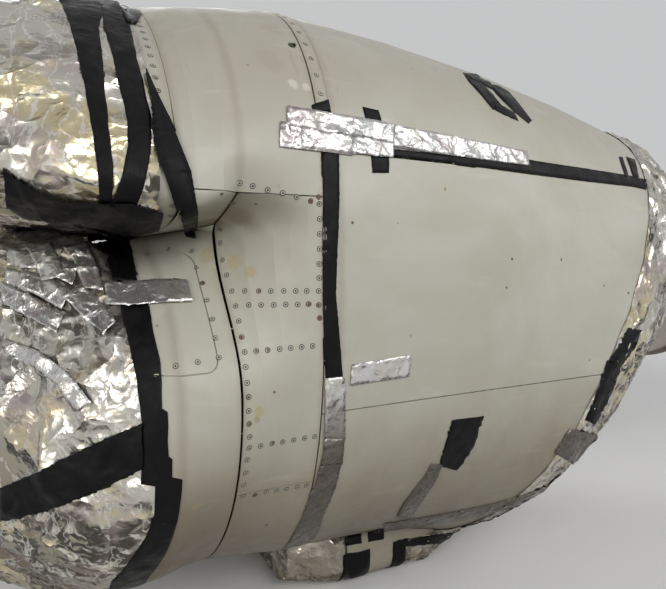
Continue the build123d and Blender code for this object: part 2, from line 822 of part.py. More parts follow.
def frame_spot(z, depth):
    """A point on the right of the aft frame's web, near a height and inward of the skin."""
    return min(moved(aft_web.points, -depth), key=lambda point: abs(point[1] - z))


def web_point(y, z):
    """The place in space of a point on the aft frame's web."""
    return aft_web.plane.from_local_coords((y, z * aft_web.stretch, 0))


boss_depth = SKIN + ATTACH_BOSS_RADIUS + ATTACH_BOSS_INSET
attach_spots = [
    (side * y, z)
    for side in (-1, 1)
    for y, z in (frame_spot(LONGERON_Z, boss_depth), frame_spot(ATTACH_FOOT_Z, boss_depth))
]
with BuildPart() as aft_frame:
    frame_body(aft_frame_sections, True, [whole_face(aft_web, -AFT_FRAME_DEPTH)])
    for y, z in attach_spots:
        start = web_point(y, z)
        boss_plane = Plane(origin=start, x_dir=(0, 1, 0), z_dir=(1, 0, 0))
        with BuildSketch(boss_plane.offset(-ATTACH_BOSS_ROOT)):
            Circle(ATTACH_BOSS_RADIUS)
        extrude(amount=ATTACH_BOSS_ROOT + ATTACH_BOSS_LENGTH)
    split(bisect_by=aft_web.plane, keep=Keep.TOP)
    for y, z in attach_spots:
        end_plane = Plane(
            origin=web_point(y, z) + Vector(ATTACH_BOSS_LENGTH, 0, 0), x_dir=(0, 1, 0),
            z_dir=(1, 0, 0),
        )
        with BuildSketch(end_plane):
            Circle(ATTACH_BOLT_RADIUS)
        extrude(amount=-ATTACH_BOLT_DEPTH, mode=Mode.SUBTRACT)
save(aft_frame.part, "aft_frame")

# Longerons from the middle frame to the aft frame, and engine mount plates ahead of the bulkhead
longeron_aft_y = frame_spot(LONGERON_Z, boss_depth)[0]
mount_x = DOOR_FRONT_X + forward_frame_xs[0] - SEAT - MOUNT_THICKNESS
for side, name in ((-1, "left"), (1, "right")):
    with BuildPart() as longeron:
        for inset, mode in ((0, Mode.ADD), (LONGERON_WALL, Mode.SUBTRACT)):
            sketches = []
            for outline, y in (
                (Outline(middle_web.plane.offset(SEAT), 1, []), LONGERON_FRONT_Y),
                (Outline(aft_web.plane.offset(-SEAT), aft_web.stretch, []), longeron_aft_y),
            ):
                with BuildSketch(outline.plane, mode=Mode.PRIVATE) as end:
                    with Locations((side * (y - inset), LONGERON_Z * outline.stretch)):
                        Rectangle(
                            LONGERON_WIDTH, (LONGERON_HEIGHT - 2 * inset) * outline.stretch,
                        )
                sketches.append(end.sketch)
            loft(sketches, ruled=True, mode=mode)
    save(longeron.part, f"{name}_longeron")

    with BuildPart() as front_mount:
        with BuildSketch(station_plane(mount_x)):
            with BuildLine():
                Polyline(
                    (side * MOUNT_PAD_Y, MOUNT_ROOT_HEIGHT / 2),
                    (side * MOUNT_OUTER_Y, MOUNT_TIP_HEIGHT / 2),
                    (side * MOUNT_OUTER_Y, -MOUNT_TIP_HEIGHT / 2),
                    (side * MOUNT_PAD_Y, -MOUNT_ROOT_HEIGHT / 2),
                    close=True,
                )
            make_face()
        extrude(amount=MOUNT_THICKNESS)
        bush_y = (MOUNT_PAD_Y + MOUNT_OUTER_Y) / 2
        with Locations(Location((mount_x, side * bush_y, 0), (0, 90, 0))):
            Hole(MOUNT_BUSH_RADIUS)
    save(front_mount.part, f"{name}_front_mount")

combustor_x = INLET_X + INLET_LENGTH + COMPRESSOR_LENGTH + DIFFUSER_LENGTH


def aft_foil_faces(outer):
    """Sections of the foil from the canted aft edge down to the hot section."""
    edge = body_outline(1)
    far = body_outline(1)
    edge.plane = edge.plane.offset(SEAT)
    far.plane = Plane(
        origin=far.plane.origin + Vector(AFT_FOIL_LENGTH, 0, 0),
        x_dir=far.plane.x_dir,
        z_dir=far.plane.z_dir,
    )
    radius = COMBUSTOR_RADIUS + FOIL + SEAT + outer
    with BuildSketch(station_plane(combustor_x + COMBUSTOR_LENGTH / 2)) as neck:
        with BuildLine():
            Spline(*[
                (
                    radius * sin(2 * pi * i / CLOSE_POINTS),
                    POWER_AXIS_Z + radius * cos(2 * pi * i / CLOSE_POINTS),
                )
                for i in range(CLOSE_POINTS)
            ], periodic=True)
        make_face()
    return [
        whole_face(edge, outer, CLOSE_POINTS),
        whole_face(far, outer - AFT_FOIL_DRAW, CLOSE_POINTS),
        neck.sketch,
    ]


# The cowling's outer form, which the oil cooler's fairing is fitted to
with BuildPart() as body_block:
    loft(
        [whole_face(o, BLOCK_LIFT, CLOSE_POINTS) for o in door_sections]
        + aft_foil_faces(BLOCK_LIFT)[1:],
        ruled=True,
    )


def cooler_face(i, grow):
    """Section of the oil cooler's fairing at its i-th station."""
    with BuildSketch(station_plane(COOLER_X[i])) as sketch:
        with Locations((0, (COOLER_FOOT_Z[i] + COOLER_HEAD_Z[i]) / 2)):
            RectangleRounded(
                2 * (COOLER_HALF_WIDTH[i] + grow),
                COOLER_HEAD_Z[i] - COOLER_FOOT_Z[i] + 2 * grow,
                COOLER_CORNER + grow,
            )
    return sketch.sketch


# Oil cooler's fairing, open at both ends, with the flap's opening in its floor
with BuildPart() as fairing_shell:
    loft([cooler_face(i, 0) for i in range(len(COOLER_X))], ruled=True)
    loft([cooler_face(i, -SKIN) for i in range(len(COOLER_X))], ruled=True, mode=Mode.SUBTRACT)
    add(body_block.part, mode=Mode.SUBTRACT)


def flap_block(grow):
    """A block through the fairing's floor, as large as the flap grown all round."""
    with BuildPart() as block:
        with BuildSketch(Plane.XY.offset(min(COOLER_FOOT_Z) - SKIN)):
            with Locations(((FLAP_X[0] + FLAP_X[1]) / 2, 0)):
                Rectangle(FLAP_X[1] - FLAP_X[0] + 2 * grow, 2 * (FLAP_HALF_WIDTH + grow))
        extrude(amount=COOLER_CORNER)
    return block.part


with BuildPart() as oil_cooler_fairing:
    add(fairing_shell.part)
    add(flap_block(SEAT), mode=Mode.SUBTRACT)
save(oil_cooler_fairing.part, "oil_cooler_fairing")

with BuildPart() as oil_cooler_flap:
    add(fairing_shell.part)
    add(flap_block(0), mode=Mode.INTERSECT)
save(oil_cooler_flap.part, "oil_cooler_flap")

# Oil cooler core between its two tanks, on the fairing's floor
core_z = COOLER_FOOT_Z[1] + SKIN + SEAT
with BuildPart() as oil_cooler:
    with BuildSketch(Plane.XY.offset(core_z)):
        with Locations((CORE_X, 0)):
            Rectangle(CORE_LENGTH, CORE_WIDTH)
    extrude(amount=CORE_HEIGHT)
    with BuildSketch(station_plane(CORE_X - CORE_LENGTH / 2)):
        with Locations((0, core_z + CORE_HEIGHT / 2)):
            with GridLocations(CORE_PITCH, 0, CORE_SLOTS, 1):
                Rectangle(CORE_PITCH / 2, CORE_HEIGHT - 4 * CASE_WALL)
    extrude(amount=CORE_LENGTH, mode=Mode.SUBTRACT)
save(oil_cooler.part, "oil_cooler")


def turned(points, z=0):
    """A ring turned about an axis along X at height z: points are (x, radius) of its outline."""
    with BuildSketch(Plane(origin=(0, 0, z), x_dir=(1, 0, 0), z_dir=(0, -1, 0))) as outline:
        with BuildLine():
            Polyline(*points, close=True)
        make_face()
    revolve(outline.sketch, axis=Axis((0, 0, z), (1, 0, 0)))


def bored(x, z, radius, length):
    """A bore along X from x."""
    with BuildSketch(Plane(origin=(x, 0, z), x_dir=(0, 1, 0), z_dir=(1, 0, 0))) as circle:
        Circle(radius)
    extrude(circle.sketch, amount=length, mode=Mode.SUBTRACT)


# Reduction gearbox: round front case with the propeller shaft's neck, and drop-shaped rear case
ring_outer = PLANET_MODULE * (RING_TEETH / 2 + DEDENDUM) + RING_WALL
case_inner = ring_outer + SEAT
case_outer = case_inner + GEARBOX_WALL
with BuildPart() as gearbox_front_case:
    turned([
        (GEARBOX_FRONT_X - FRONT_NECK_LENGTH, PROP_SHAFT_RADIUS + RUNNING),
        (GEARBOX_FRONT_X - FRONT_NECK_LENGTH, FRONT_NECK_RADIUS),
        (GEARBOX_FRONT_X, FRONT_NECK_RADIUS),
        (GEARBOX_FRONT_X + GEARBOX_ROOM, case_outer - GEARBOX_SHOULDER),
        (GEARBOX_FRONT_X + GEARBOX_SHOULDER, case_outer),
        (GEARBOX_SPLIT_X - FLANGE_LENGTH, case_outer),
        (GEARBOX_SPLIT_X - FLANGE_LENGTH, case_outer + FLANGE_RISE),
        (GEARBOX_SPLIT_X, case_outer + FLANGE_RISE),
        (GEARBOX_SPLIT_X, case_inner),
        (GEARBOX_FRONT_X + GEARBOX_SHOULDER, case_inner),
        (GEARBOX_FRONT_X + GEARBOX_WALL, case_inner - GEARBOX_SHOULDER),
        (GEARBOX_FRONT_X + GEARBOX_WALL, PROP_SHAFT_RADIUS + RUNNING),
    ])
save(gearbox_front_case.part, "gearbox_front_case")


def drop_shape(grow):
    """Drop-shaped outline round the main gear and the pinion."""
    Circle(case_outer + grow)
    with Locations((0, POWER_AXIS_Z)):
        Circle(PINION_CASE_RADIUS + grow)
    make_hull()


with BuildPart() as gearbox_rear_case:
    with BuildSketch(station_plane(GEARBOX_SPLIT_X + SEAT)):
        drop_shape(0)
    extrude(amount=GEARBOX_AFT_X - GEARBOX_SPLIT_X - SEAT)
    with BuildSketch(station_plane(GEARBOX_SPLIT_X + SEAT)):
        drop_shape(FLANGE_RISE)
    extrude(amount=FLANGE_LENGTH)
    for side in (-1, 1):
        with BuildSketch(station_plane(mount_x - MOUNT_PAD_HEIGHT / 2)):
            with Locations((side * (MOUNT_PAD_Y - SEAT - MOUNT_PAD_HEIGHT / 2), 0)):
                Rectangle(MOUNT_PAD_HEIGHT, MOUNT_ROOT_HEIGHT)
        extrude(amount=MOUNT_PAD_HEIGHT / 2 + MOUNT_THICKNESS)
    with BuildSketch(station_plane(GEARBOX_SPLIT_X + SEAT)):
        drop_shape(-GEARBOX_WALL)
    extrude(
        amount=GEARBOX_AFT_X - GEARBOX_SPLIT_X - SEAT - GEARBOX_WALL, mode=Mode.SUBTRACT,
    )
    bored(GEARBOX_AFT_X - 2 * GEARBOX_WALL, 0, HUB_RADIUS + RUNNING, 2 * GEARBOX_WALL)
    bored(GEARBOX_AFT_X - 2 * GEARBOX_WALL, POWER_AXIS_Z, SHAFT_RADIUS + RUNNING, 2 * GEARBOX_WALL)
save(gearbox_rear_case.part, "gearbox_rear_case")


def gear_points(teeth, module, turn, inner=False):
    """Corners of a gear's outline: each tooth has straight flanks and a flat tip."""
    pitch_radius = module * teeth / 2
    sign = -1 if inner else 1
    tip = pitch_radius + sign * ADDENDUM * module
    root = pitch_radius - sign * DEDENDUM * module
    half_space = (pi * module / 2 + BACKLASH / 2) / pitch_radius / 2
    lean = radians(PRESSURE_ANGLE)
    tip_half = pi / teeth - half_space - ADDENDUM * module * tan(lean) / pitch_radius
    root_half = pi / teeth - half_space + DEDENDUM * module * tan(lean) / pitch_radius
    points = []
    for i in range(teeth):
        middle = 2 * pi * (i + turn) / teeth
        for angle, radius in (
            (-root_half, root), (-tip_half, tip), (tip_half, tip), (root_half, root),
        ):
            points.append((radius * cos(middle + angle), radius * sin(middle + angle)))
    return points


def gear_face(x, y, z, points, bore=0.0, rim=0.0):
    """A gear's face on the station plane at x, with its centre at y and z."""
    with BuildSketch(Plane(origin=(x, y, z), x_dir=(0, 1, 0), z_dir=(1, 0, 0))) as gear:
        if rim:
            Circle(rim)
        with BuildLine():
            Polyline(*points, close=True)
        make_face(mode=Mode.SUBTRACT if rim else Mode.ADD)
        if bore:
            Circle(bore, mode=Mode.SUBTRACT)
    return gear.sketch


def turns_to(angle, teeth, on_tooth):
    """The turn, in teeth, that puts a tooth or a gap of a gear at an angle."""
    turn = angle * teeth / (2 * pi)
    return turn if on_tooth else turn + 0.5


# Ring gear, held in the front case
planet_x = PLANET_FRONT_X
with BuildPart() as ring_gear:
    teeth = gear_points(RING_TEETH, PLANET_MODULE, 0.5, True)
    extrude(gear_face(planet_x, 0, 0, teeth, rim=ring_outer), amount=PLANET_FACE)
save(ring_gear.part, "ring_gear")

# Main gear with the sun gear ahead of it on one shaft
with BuildPart() as main_drive_gear:
    turn = turns_to(pi / 2, MAIN_TEETH, False)
    teeth = gear_points(MAIN_TEETH, MAIN_MODULE, turn)
    extrude(gear_face(MAIN_GEAR_X, 0, 0, teeth), amount=MAIN_FACE)
    for start, rise in ((MAIN_GEAR_X, -1), (MAIN_GEAR_X + MAIN_FACE, 1)):
        with BuildSketch(station_plane(start)):
            Circle(MAIN_WEB_OUTER)
            Circle(HUB_RADIUS + GEARBOX_WALL, mode=Mode.SUBTRACT)
        extrude(amount=-rise * (MAIN_FACE - MAIN_WEB) / 2, mode=Mode.SUBTRACT)
    with BuildSketch(station_plane(MAIN_GEAR_X)):
        with PolarLocations((MAIN_WEB_OUTER + HUB_RADIUS + GEARBOX_WALL) / 2, MAIN_HOLES):
            Circle(MAIN_HOLE_RADIUS)
    extrude(amount=MAIN_FACE, mode=Mode.SUBTRACT)
    with BuildSketch(station_plane(planet_x + PLANET_FACE)):
        Circle(HUB_RADIUS)
    extrude(amount=GEARBOX_AFT_X - planet_x - PLANET_FACE)
    teeth = gear_points(SUN_TEETH, PLANET_MODULE, 0)
    extrude(gear_face(planet_x, 0, 0, teeth), amount=PLANET_FACE)
save(main_drive_gear.part, "main_drive_gear")

# Propeller shaft with the planet carrier and its pins
planet_circle = PLANET_MODULE * (SUN_TEETH + PLANET_TEETH) / 2
carrier_front = planet_x - CARRIER_GAP - CARRIER_PLATE
carrier_back = planet_x + PLANET_FACE + CARRIER_GAP
with BuildPart() as propeller_shaft:
    with BuildSketch(station_plane(PROP_SHAFT_TIP_X)):
        Circle(PROP_SHAFT_RADIUS)
    extrude(amount=carrier_front - PROP_SHAFT_TIP_X)
    with BuildSketch(station_plane(PROP_SHAFT_TIP_X)):
        Circle(PROP_SHAFT_BORE)
    extrude(amount=PROP_BORE_DEPTH, mode=Mode.SUBTRACT)
    with BuildSketch(station_plane(carrier_front)):
        Circle(CARRIER_RADIUS)
    extrude(amount=CARRIER_PLATE)
    with BuildSketch(station_plane(carrier_front)):
        with PolarLocations(planet_circle, PLANET_COUNT):
            Circle(PIN_RADIUS)
    extrude(amount=carrier_back - carrier_front)
    with BuildSketch(station_plane(carrier_back)):
        Circle(CARRIER_RADIUS)
        Circle(HUB_RADIUS + CARRIER_GAP, mode=Mode.SUBTRACT)
    extrude(amount=CARRIER_PLATE / 2)
save(propeller_shaft.part, "propeller_shaft")

for i in range(PLANET_COUNT):
    angle = 2 * pi * i / PLANET_COUNT
    # The sun's tooth offset at this angle fixes the planet's: together they make half a tooth
    sun_offset = (angle * SUN_TEETH / (2 * pi)) % 1
    planet_turn = (angle + pi) * PLANET_TEETH / (2 * pi) - (0.5 - sun_offset)
    y = planet_circle * cos(angle)
    z = planet_circle * sin(angle)
    with BuildPart() as planet_gear:
        teeth = gear_points(PLANET_TEETH, PLANET_MODULE, planet_turn)
        bore = PIN_RADIUS + RUNNING
        extrude(gear_face(planet_x, y, z, teeth, bore=bore), amount=PLANET_FACE)
    save(planet_gear.part, f"planet_gear_{i + 1}")

# Torque shaft with the pinion, and the tube that it runs in
with BuildPart() as torque_shaft:
    turn = turns_to(-pi / 2, PINION_TEETH, True)
    teeth = gear_points(PINION_TEETH, MAIN_MODULE, turn)
    extrude(gear_face(MAIN_GEAR_X, 0, POWER_AXIS_Z, teeth), amount=MAIN_FACE)
    with BuildSketch(power_plane(MAIN_GEAR_X)):
        Circle(SHAFT_RADIUS)
    extrude(amount=INLET_X + INLET_LENGTH - MAIN_GEAR_X)
save(torque_shaft.part, "torque_shaft")

with BuildPart() as torquemeter_housing:
    start = GEARBOX_AFT_X + SEAT
    end = INLET_X - SEAT
    inner = TORQUE_TUBE_RADIUS - CASE_WALL
    flange = TORQUE_TUBE_RADIUS + FLANGE_RISE
    turned([
        (start, inner), (start, flange), (start + FLANGE_LENGTH, flange),
        (start + FLANGE_LENGTH, TORQUE_TUBE_RADIUS), (end - FLANGE_LENGTH, TORQUE_TUBE_RADIUS),
        (end - FLANGE_LENGTH, flange), (end, flange), (end, inner),
    ], POWER_AXIS_Z)
save(torquemeter_housing.part, "torquemeter_housing")

# Tie struts between the gearbox and the inlet housing, with a foot at each end
for side, name in ((-1, "left"), (1, "right")):
    with BuildPart() as tie_strut:
        ends = (
            (GEARBOX_AFT_X + SEAT, 1, STRUT_FRONT), (INLET_X - SEAT, -1, STRUT_AFT),
        )
        faces = []
        for x, way, (y, z) in ends:
            with BuildSketch(station_plane(x)):
                with Locations((side * y, z)):
                    Circle(STRUT_EYE_RADIUS)
            extrude(amount=way * STRUT_EYE_LENGTH)
            with BuildSketch(station_plane(x + way * STRUT_EYE_LENGTH / 2), mode=Mode.PRIVATE) as face:
                with Locations((side * y, z)):
                    Circle(STRUT_RADIUS)
            faces.append(face.sketch)
        loft(faces, ruled=True)
    save(tie_strut.part, f"{name}_tie_strut")


def struts(x, length, inner, outer, count, thickness):
    """Radial struts between a hub and a ring on the power axis."""
    with BuildSketch(power_plane(x)) as arms:
        with PolarLocations((inner + outer) / 2, count, start_angle=90):
            Rectangle(outer - inner + CASE_WALL, thickness)
    extrude(arms.sketch, amount=length)


# Air inlet housing
inlet_end = INLET_X + INLET_LENGTH - SEAT
with BuildPart() as air_inlet_housing:
    turned([
        (INLET_X, COMPRESSOR_RADIUS - CASE_WALL), (INLET_X, INLET_FLANGE_RADIUS),
        (INLET_X + FLANGE_LENGTH, INLET_FLANGE_RADIUS), (INLET_X + FLANGE_LENGTH, COMPRESSOR_RADIUS),
        (inlet_end - FLANGE_LENGTH, COMPRESSOR_RADIUS),
        (inlet_end - FLANGE_LENGTH, COMPRESSOR_RADIUS + FLANGE_RISE),
        (inlet_end, COMPRESSOR_RADIUS + FLANGE_RISE), (inlet_end, COMPRESSOR_RADIUS - CASE_WALL),
    ], POWER_AXIS_Z)
    turned([
        (INLET_X, SHAFT_RADIUS + RUNNING), (INLET_X, INLET_HUB_RADIUS),
        (inlet_end, DRUM_FRONT_RADIUS - HUB_GAP), (inlet_end, SHAFT_RADIUS + RUNNING),
    ], POWER_AXIS_Z)
    struts(
        INLET_X + INLET_LENGTH / 4, INLET_LENGTH / 2, INLET_HUB_RADIUS, COMPRESSOR_RADIUS - CASE_WALL,
        INLET_STRUTS, 2 * CASE_WALL,
    )
save(air_inlet_housing.part, "air_inlet_housing")


def case_points(x0, r0, x1, r1, ribs=0):
    """Outline of a flanged case from x0 to x1, with ribs round it."""
    points = [
        (x0, r0 - CASE_WALL), (x0, r0 + FLANGE_RISE), (x0 + FLANGE_LENGTH, r0 + FLANGE_RISE),
        (x0 + FLANGE_LENGTH, r0),
    ]
    for i in range(ribs):
        middle = x0 + (x1 - x0) * (i + 1) / (ribs + 1)
        half = FLANGE_LENGTH / 2
        points += [
            (middle - half, r0), (middle - half, r0 + FLANGE_RISE / 2),
            (middle + half, r0 + FLANGE_RISE / 2), (middle + half, r0),
        ]
    return points + [
        (x1 - FLANGE_LENGTH, r1), (x1 - FLANGE_LENGTH, r1 + FLANGE_RISE), (x1, r1 + FLANGE_RISE),
        (x1, r1 - CASE_WALL), (x1 - FLANGE_LENGTH, r1 - CASE_WALL),
        (x0 + FLANGE_LENGTH, r0 - CASE_WALL),
    ]


compressor_x = INLET_X + INLET_LENGTH
diffuser_x = compressor_x + COMPRESSOR_LENGTH
turbine_x = combustor_x + COMBUSTOR_LENGTH
exhaust_x = turbine_x + TURBINE_LENGTH
exhaust_end = exhaust_x + EXHAUST_LENGTH

with BuildPart() as compressor_case:
    turned(case_points(
        compressor_x, COMPRESSOR_RADIUS, diffuser_x - SEAT, COMPRESSOR_RADIUS, COMPRESSOR_RIBS,
    ), POWER_AXIS_Z)
save(compressor_case.part, "compressor_case")

with BuildPart() as diffuser:
    turned(case_points(
        diffuser_x, COMPRESSOR_RADIUS, combustor_x - SEAT, COMBUSTOR_RADIUS,
    ), POWER_AXIS_Z)
save(diffuser.part, "diffuser")

with BuildPart() as combustion_case:
    turned(case_points(
        combustor_x, COMBUSTOR_RADIUS, turbine_x - SEAT, COMBUSTOR_RADIUS,
    ), POWER_AXIS_Z)
save(combustion_case.part, "combustion_case")

liner_circle = COMBUSTOR_RADIUS - CASE_WALL - SEAT - LINER_RADIUS
with BuildPart() as combustion_liners:
    plane = power_plane(combustor_x + (COMBUSTOR_LENGTH - LINER_LENGTH) / 2)
    with BuildSketch(plane):
        with PolarLocations(liner_circle, LINER_COUNT):
            Circle(LINER_RADIUS)
    extrude(amount=LINER_LENGTH)
    with BuildSketch(plane.offset(SKIN)):
        with PolarLocations(liner_circle, LINER_COUNT):
            Circle(LINER_RADIUS - SKIN)
    extrude(amount=LINER_LENGTH, mode=Mode.SUBTRACT)
save(combustion_liners.part, "combustion_liners")

with BuildPart() as turbine_case:
    turned(case_points(
        turbine_x, TURBINE_RADIUS, exhaust_x - SEAT, TURBINE_RADIUS, TURBINE_STAGES - 1,
    ), POWER_AXIS_Z)
save(turbine_case.part, "turbine_case")

with BuildPart() as exhaust_case:
    turned(case_points(exhaust_x, EXHAUST_RADIUS, exhaust_end, EXHAUST_RADIUS), POWER_AXIS_Z)
    turned([
        (exhaust_x, SHAFT_RADIUS + RUNNING), (exhaust_x, EXHAUST_HUB_RADIUS),
        (exhaust_x + EXHAUST_LENGTH / 2, EXHAUST_HUB_RADIUS), (exhaust_end, SHAFT_RADIUS * 2),
        (exhaust_end, 1), (exhaust_x + EXHAUST_LENGTH / 2, 1),
        (exhaust_x + EXHAUST_LENGTH / 2, SHAFT_RADIUS + RUNNING),
    ], POWER_AXIS_Z)
    struts(
        exhaust_x + EXHAUST_LENGTH / 6, EXHAUST_LENGTH / 4, EXHAUST_HUB_RADIUS - CASE_WALL,
        EXHAUST_RADIUS - CASE_WALL, EXHAUST_STRUTS, 2 * CASE_WALL,
    )
save(exhaust_case.part, "exhaust_case")


def rotor_rows(start, length, stages, blades, inner_front, inner_aft, outer, thickness):
    """A drum with rows of blades on the power axis."""
    turned([
        (start, 0.0), (start, inner_front), (start + length, inner_aft), (start + length, 0.0),
    ], POWER_AXIS_Z)
    pitch = length / stages
    for i in range(stages):
        with BuildSketch(power_plane(start + pitch * (i + 0.25))) as row:
            middle = (inner_front + outer) / 2 - HUB_GAP
            with PolarLocations(middle, blades, start_angle=i * 180 / blades):
                Rectangle(outer - inner_front + 2 * HUB_GAP, thickness)
        extrude(row.sketch, amount=pitch / 2)


# Compressor rotor, with the shaft that carries it on to the turbine
with BuildPart() as compressor_rotor:
    rotor_rows(
        compressor_x + SEAT, COMPRESSOR_LENGTH - 2 * BLADE_GAP, COMPRESSOR_STAGES,
        COMPRESSOR_BLADES, DRUM_FRONT_RADIUS, DRUM_AFT_RADIUS,
        COMPRESSOR_RADIUS - CASE_WALL - BLADE_GAP, BLADE_THICKNESS,
    )
    with BuildSketch(power_plane(diffuser_x - 2 * BLADE_GAP)):
        Circle(SHAFT_RADIUS)
    extrude(amount=turbine_x - diffuser_x + 2 * BLADE_GAP)
save(compressor_rotor.part, "compressor_rotor")

with BuildPart() as turbine_rotor:
    rotor_rows(
        turbine_x + SEAT, TURBINE_LENGTH - 2 * BLADE_GAP, TURBINE_STAGES, TURBINE_BLADES,
        TURBINE_HUB_RADIUS, TURBINE_HUB_RADIUS, TURBINE_RADIUS - CASE_WALL - BLADE_GAP,
        BLADE_THICKNESS,
    )
    with BuildSketch(power_plane(exhaust_x - 2 * BLADE_GAP)):
        Circle(SHAFT_RADIUS)
    extrude(amount=EXHAUST_LENGTH / 2)
save(turbine_rotor.part, "turbine_rotor")

# Accessory gearbox under the inlet housing, and the fuel control behind it with its lever
accessory_top = POWER_AXIS_Z - INLET_FLANGE_RADIUS - SEAT
with BuildPart() as accessory_gearbox:
    with BuildSketch(Plane.XY.offset(accessory_top - ACCESSORY_HEIGHT)):
        with Locations((INLET_X + ACCESSORY_LENGTH / 2, 0)):
            RectangleRounded(ACCESSORY_LENGTH, ACCESSORY_WIDTH, 2 * FLANGE_RISE)
    extrude(amount=ACCESSORY_HEIGHT)
    with BuildSketch(station_plane(INLET_X)):
        with Locations((0, accessory_top - ACCESSORY_HEIGHT / 2)):
            with GridLocations(ACCESSORY_WIDTH / 2, 0, 2, 1):
                Circle(ACCESSORY_PAD_RADIUS)
    extrude(amount=-ACCESSORY_PAD_LENGTH)
save(accessory_gearbox.part, "accessory_gearbox")

control_x = INLET_X + ACCESSORY_LENGTH + SEAT
control_z = accessory_top - ACCESSORY_HEIGHT / 2
with BuildPart() as fuel_control:
    with BuildSketch(station_plane(control_x)):
        with Locations((0, control_z)):
            RectangleRounded(CONTROL_WIDTH, CONTROL_HEIGHT, FLANGE_RISE)
    extrude(amount=CONTROL_LENGTH)
    with BuildSketch(Plane(origin=(control_x + CONTROL_LENGTH / 2, -CONTROL_WIDTH / 2, control_z),
                           x_dir=(1, 0, 0), z_dir=(0, -1, 0))):
        Circle(LEVER_PIN_RADIUS)
    extrude(amount=LEVER_THICKNESS * 2)
save(fuel_control.part, "fuel_control")

with BuildPart() as power_lever:
    lever_y = -CONTROL_WIDTH / 2 - SEAT * 3
    with BuildSketch(Plane(origin=(control_x + CONTROL_LENGTH / 2, lever_y, control_z),
                           x_dir=(1, 0, 0), z_dir=(0, -1, 0))):
        Circle(2 * LEVER_PIN_RADIUS)
        with Locations((0, -LEVER_LENGTH)):
            Circle(LEVER_PIN_RADIUS)
        make_hull()
        Circle(LEVER_PIN_RADIUS + RUNNING, mode=Mode.SUBTRACT)
    extrude(amount=LEVER_THICKNESS)
save(power_lever.part, "power_lever")


def duct_faces(grow):
    """Sections of the intake duct, from the scoop down to the inlet housing's ring."""
    faces = [
        whole_face(lobe_outline(Lobe(width, level, rise, drop, 2, 2), x), grow)
        for x, width, level, rise, drop in DUCT_SECTIONS
    ]
    with BuildSketch(station_plane(INLET_X - SEAT)) as end:
        with BuildLine():
            radius = COMPRESSOR_RADIUS - CASE_WALL + SKIN + grow
            Spline(*[
                (
                    radius * sin(2 * pi * i / RING_POINTS),
                    POWER_AXIS_Z + radius * cos(2 * pi * i / RING_POINTS),
                )
                for i in range(RING_POINTS)
            ], periodic=True)
        make_face()
    return faces + [end.sketch]


# Intake duct from the scoop to the compressor, clear of the torquemeter housing
with BuildPart() as inlet_duct:
    loft(duct_faces(0), ruled=True)
    loft(duct_faces(-SKIN), ruled=True, mode=Mode.SUBTRACT)
    with BuildSketch(power_plane(DOOR_FRONT_X)):
        Circle(TORQUE_TUBE_RADIUS + 2 * SKIN)
    extrude(amount=INLET_X - DOOR_FRONT_X - 2 * FLANGE_LENGTH, mode=Mode.SUBTRACT)
save(inlet_duct.part, "inlet_duct")


def kept_box(x0, x1, y0, y1, z0, z1):
    """Keep only what lies in a box, measured from the cowling's datum."""
    with BuildSketch(Plane.XY.offset(COWL_Z + z0), mode=Mode.PRIVATE) as base:
        with Locations((DOOR_FRONT_X + (x0 + x1) / 2, (y0 + y1) / 2)):
            Rectangle(x1 - x0, y1 - y0)
    extrude(base.sketch, amount=z1 - z0, mode=Mode.INTERSECT)


def lobe_face(lobe, x, shrink, count):
    """A closed face of a lobe drawn in by a length all round."""
    smaller = Lobe(
        lobe.width - shrink, lobe.level, lobe.rise - shrink, lobe.drop - shrink,
        lobe.crown_power, lobe.keel_power,
    )
    return whole_face(lobe_outline(smaller, x), 0, count)


# Foil over the scoop's mouth, tied down behind the lip
with BuildPart() as scoop_foil:
    for outer, mode in ((FOIL_LIFT + FOIL, Mode.ADD), (FOIL_LIFT, Mode.SUBTRACT)):
        inset = 0 if mode == Mode.ADD else FOIL
        loft(
            [whole_face(scoop_outline(x), outer) for x in scoop_xs]
            + [whole_face(scoop_outline(LIP_X), outer)]
            + [
                lobe_face(Lobe(*lobe), x + inset, inset, RING_POINTS)
                for x, *lobe in SCOOP_FOIL_SECTIONS
            ],
            ruled=True, mode=mode,
        )
    kept_box(-REACH, SCOOP_FOIL_AFT_X, -REACH, REACH, -REACH, REACH)
save(scoop_foil.part, "scoop_foil")

# Foil over the nose bowl and round the propeller shaft
with BuildPart() as nose_foil:
    for outer, mode in ((FOIL_LIFT + FOIL, Mode.ADD), (FOIL_LIFT, Mode.SUBTRACT)):
        inset = 0 if mode == Mode.ADD else FOIL
        loft(
            [
                whole_face(nose_outline(x), outer, CLOSE_POINTS)
                for x in [x for x in reversed(nose_xs) if x <= NOSE_RING_X] + [LIP_X + LIP_TURN, LIP_X]
            ]
            + [lobe_face(Lobe(*lobe), x + inset, inset, CLOSE_POINTS)
                for x, *lobe in NOSE_FOIL_SECTIONS],
            ruled=True, mode=mode,
        )
    kept_box(-REACH, NOSE_FOIL_AFT_X, -REACH, REACH, -REACH, REACH)
save(nose_foil.part, "nose_foil")

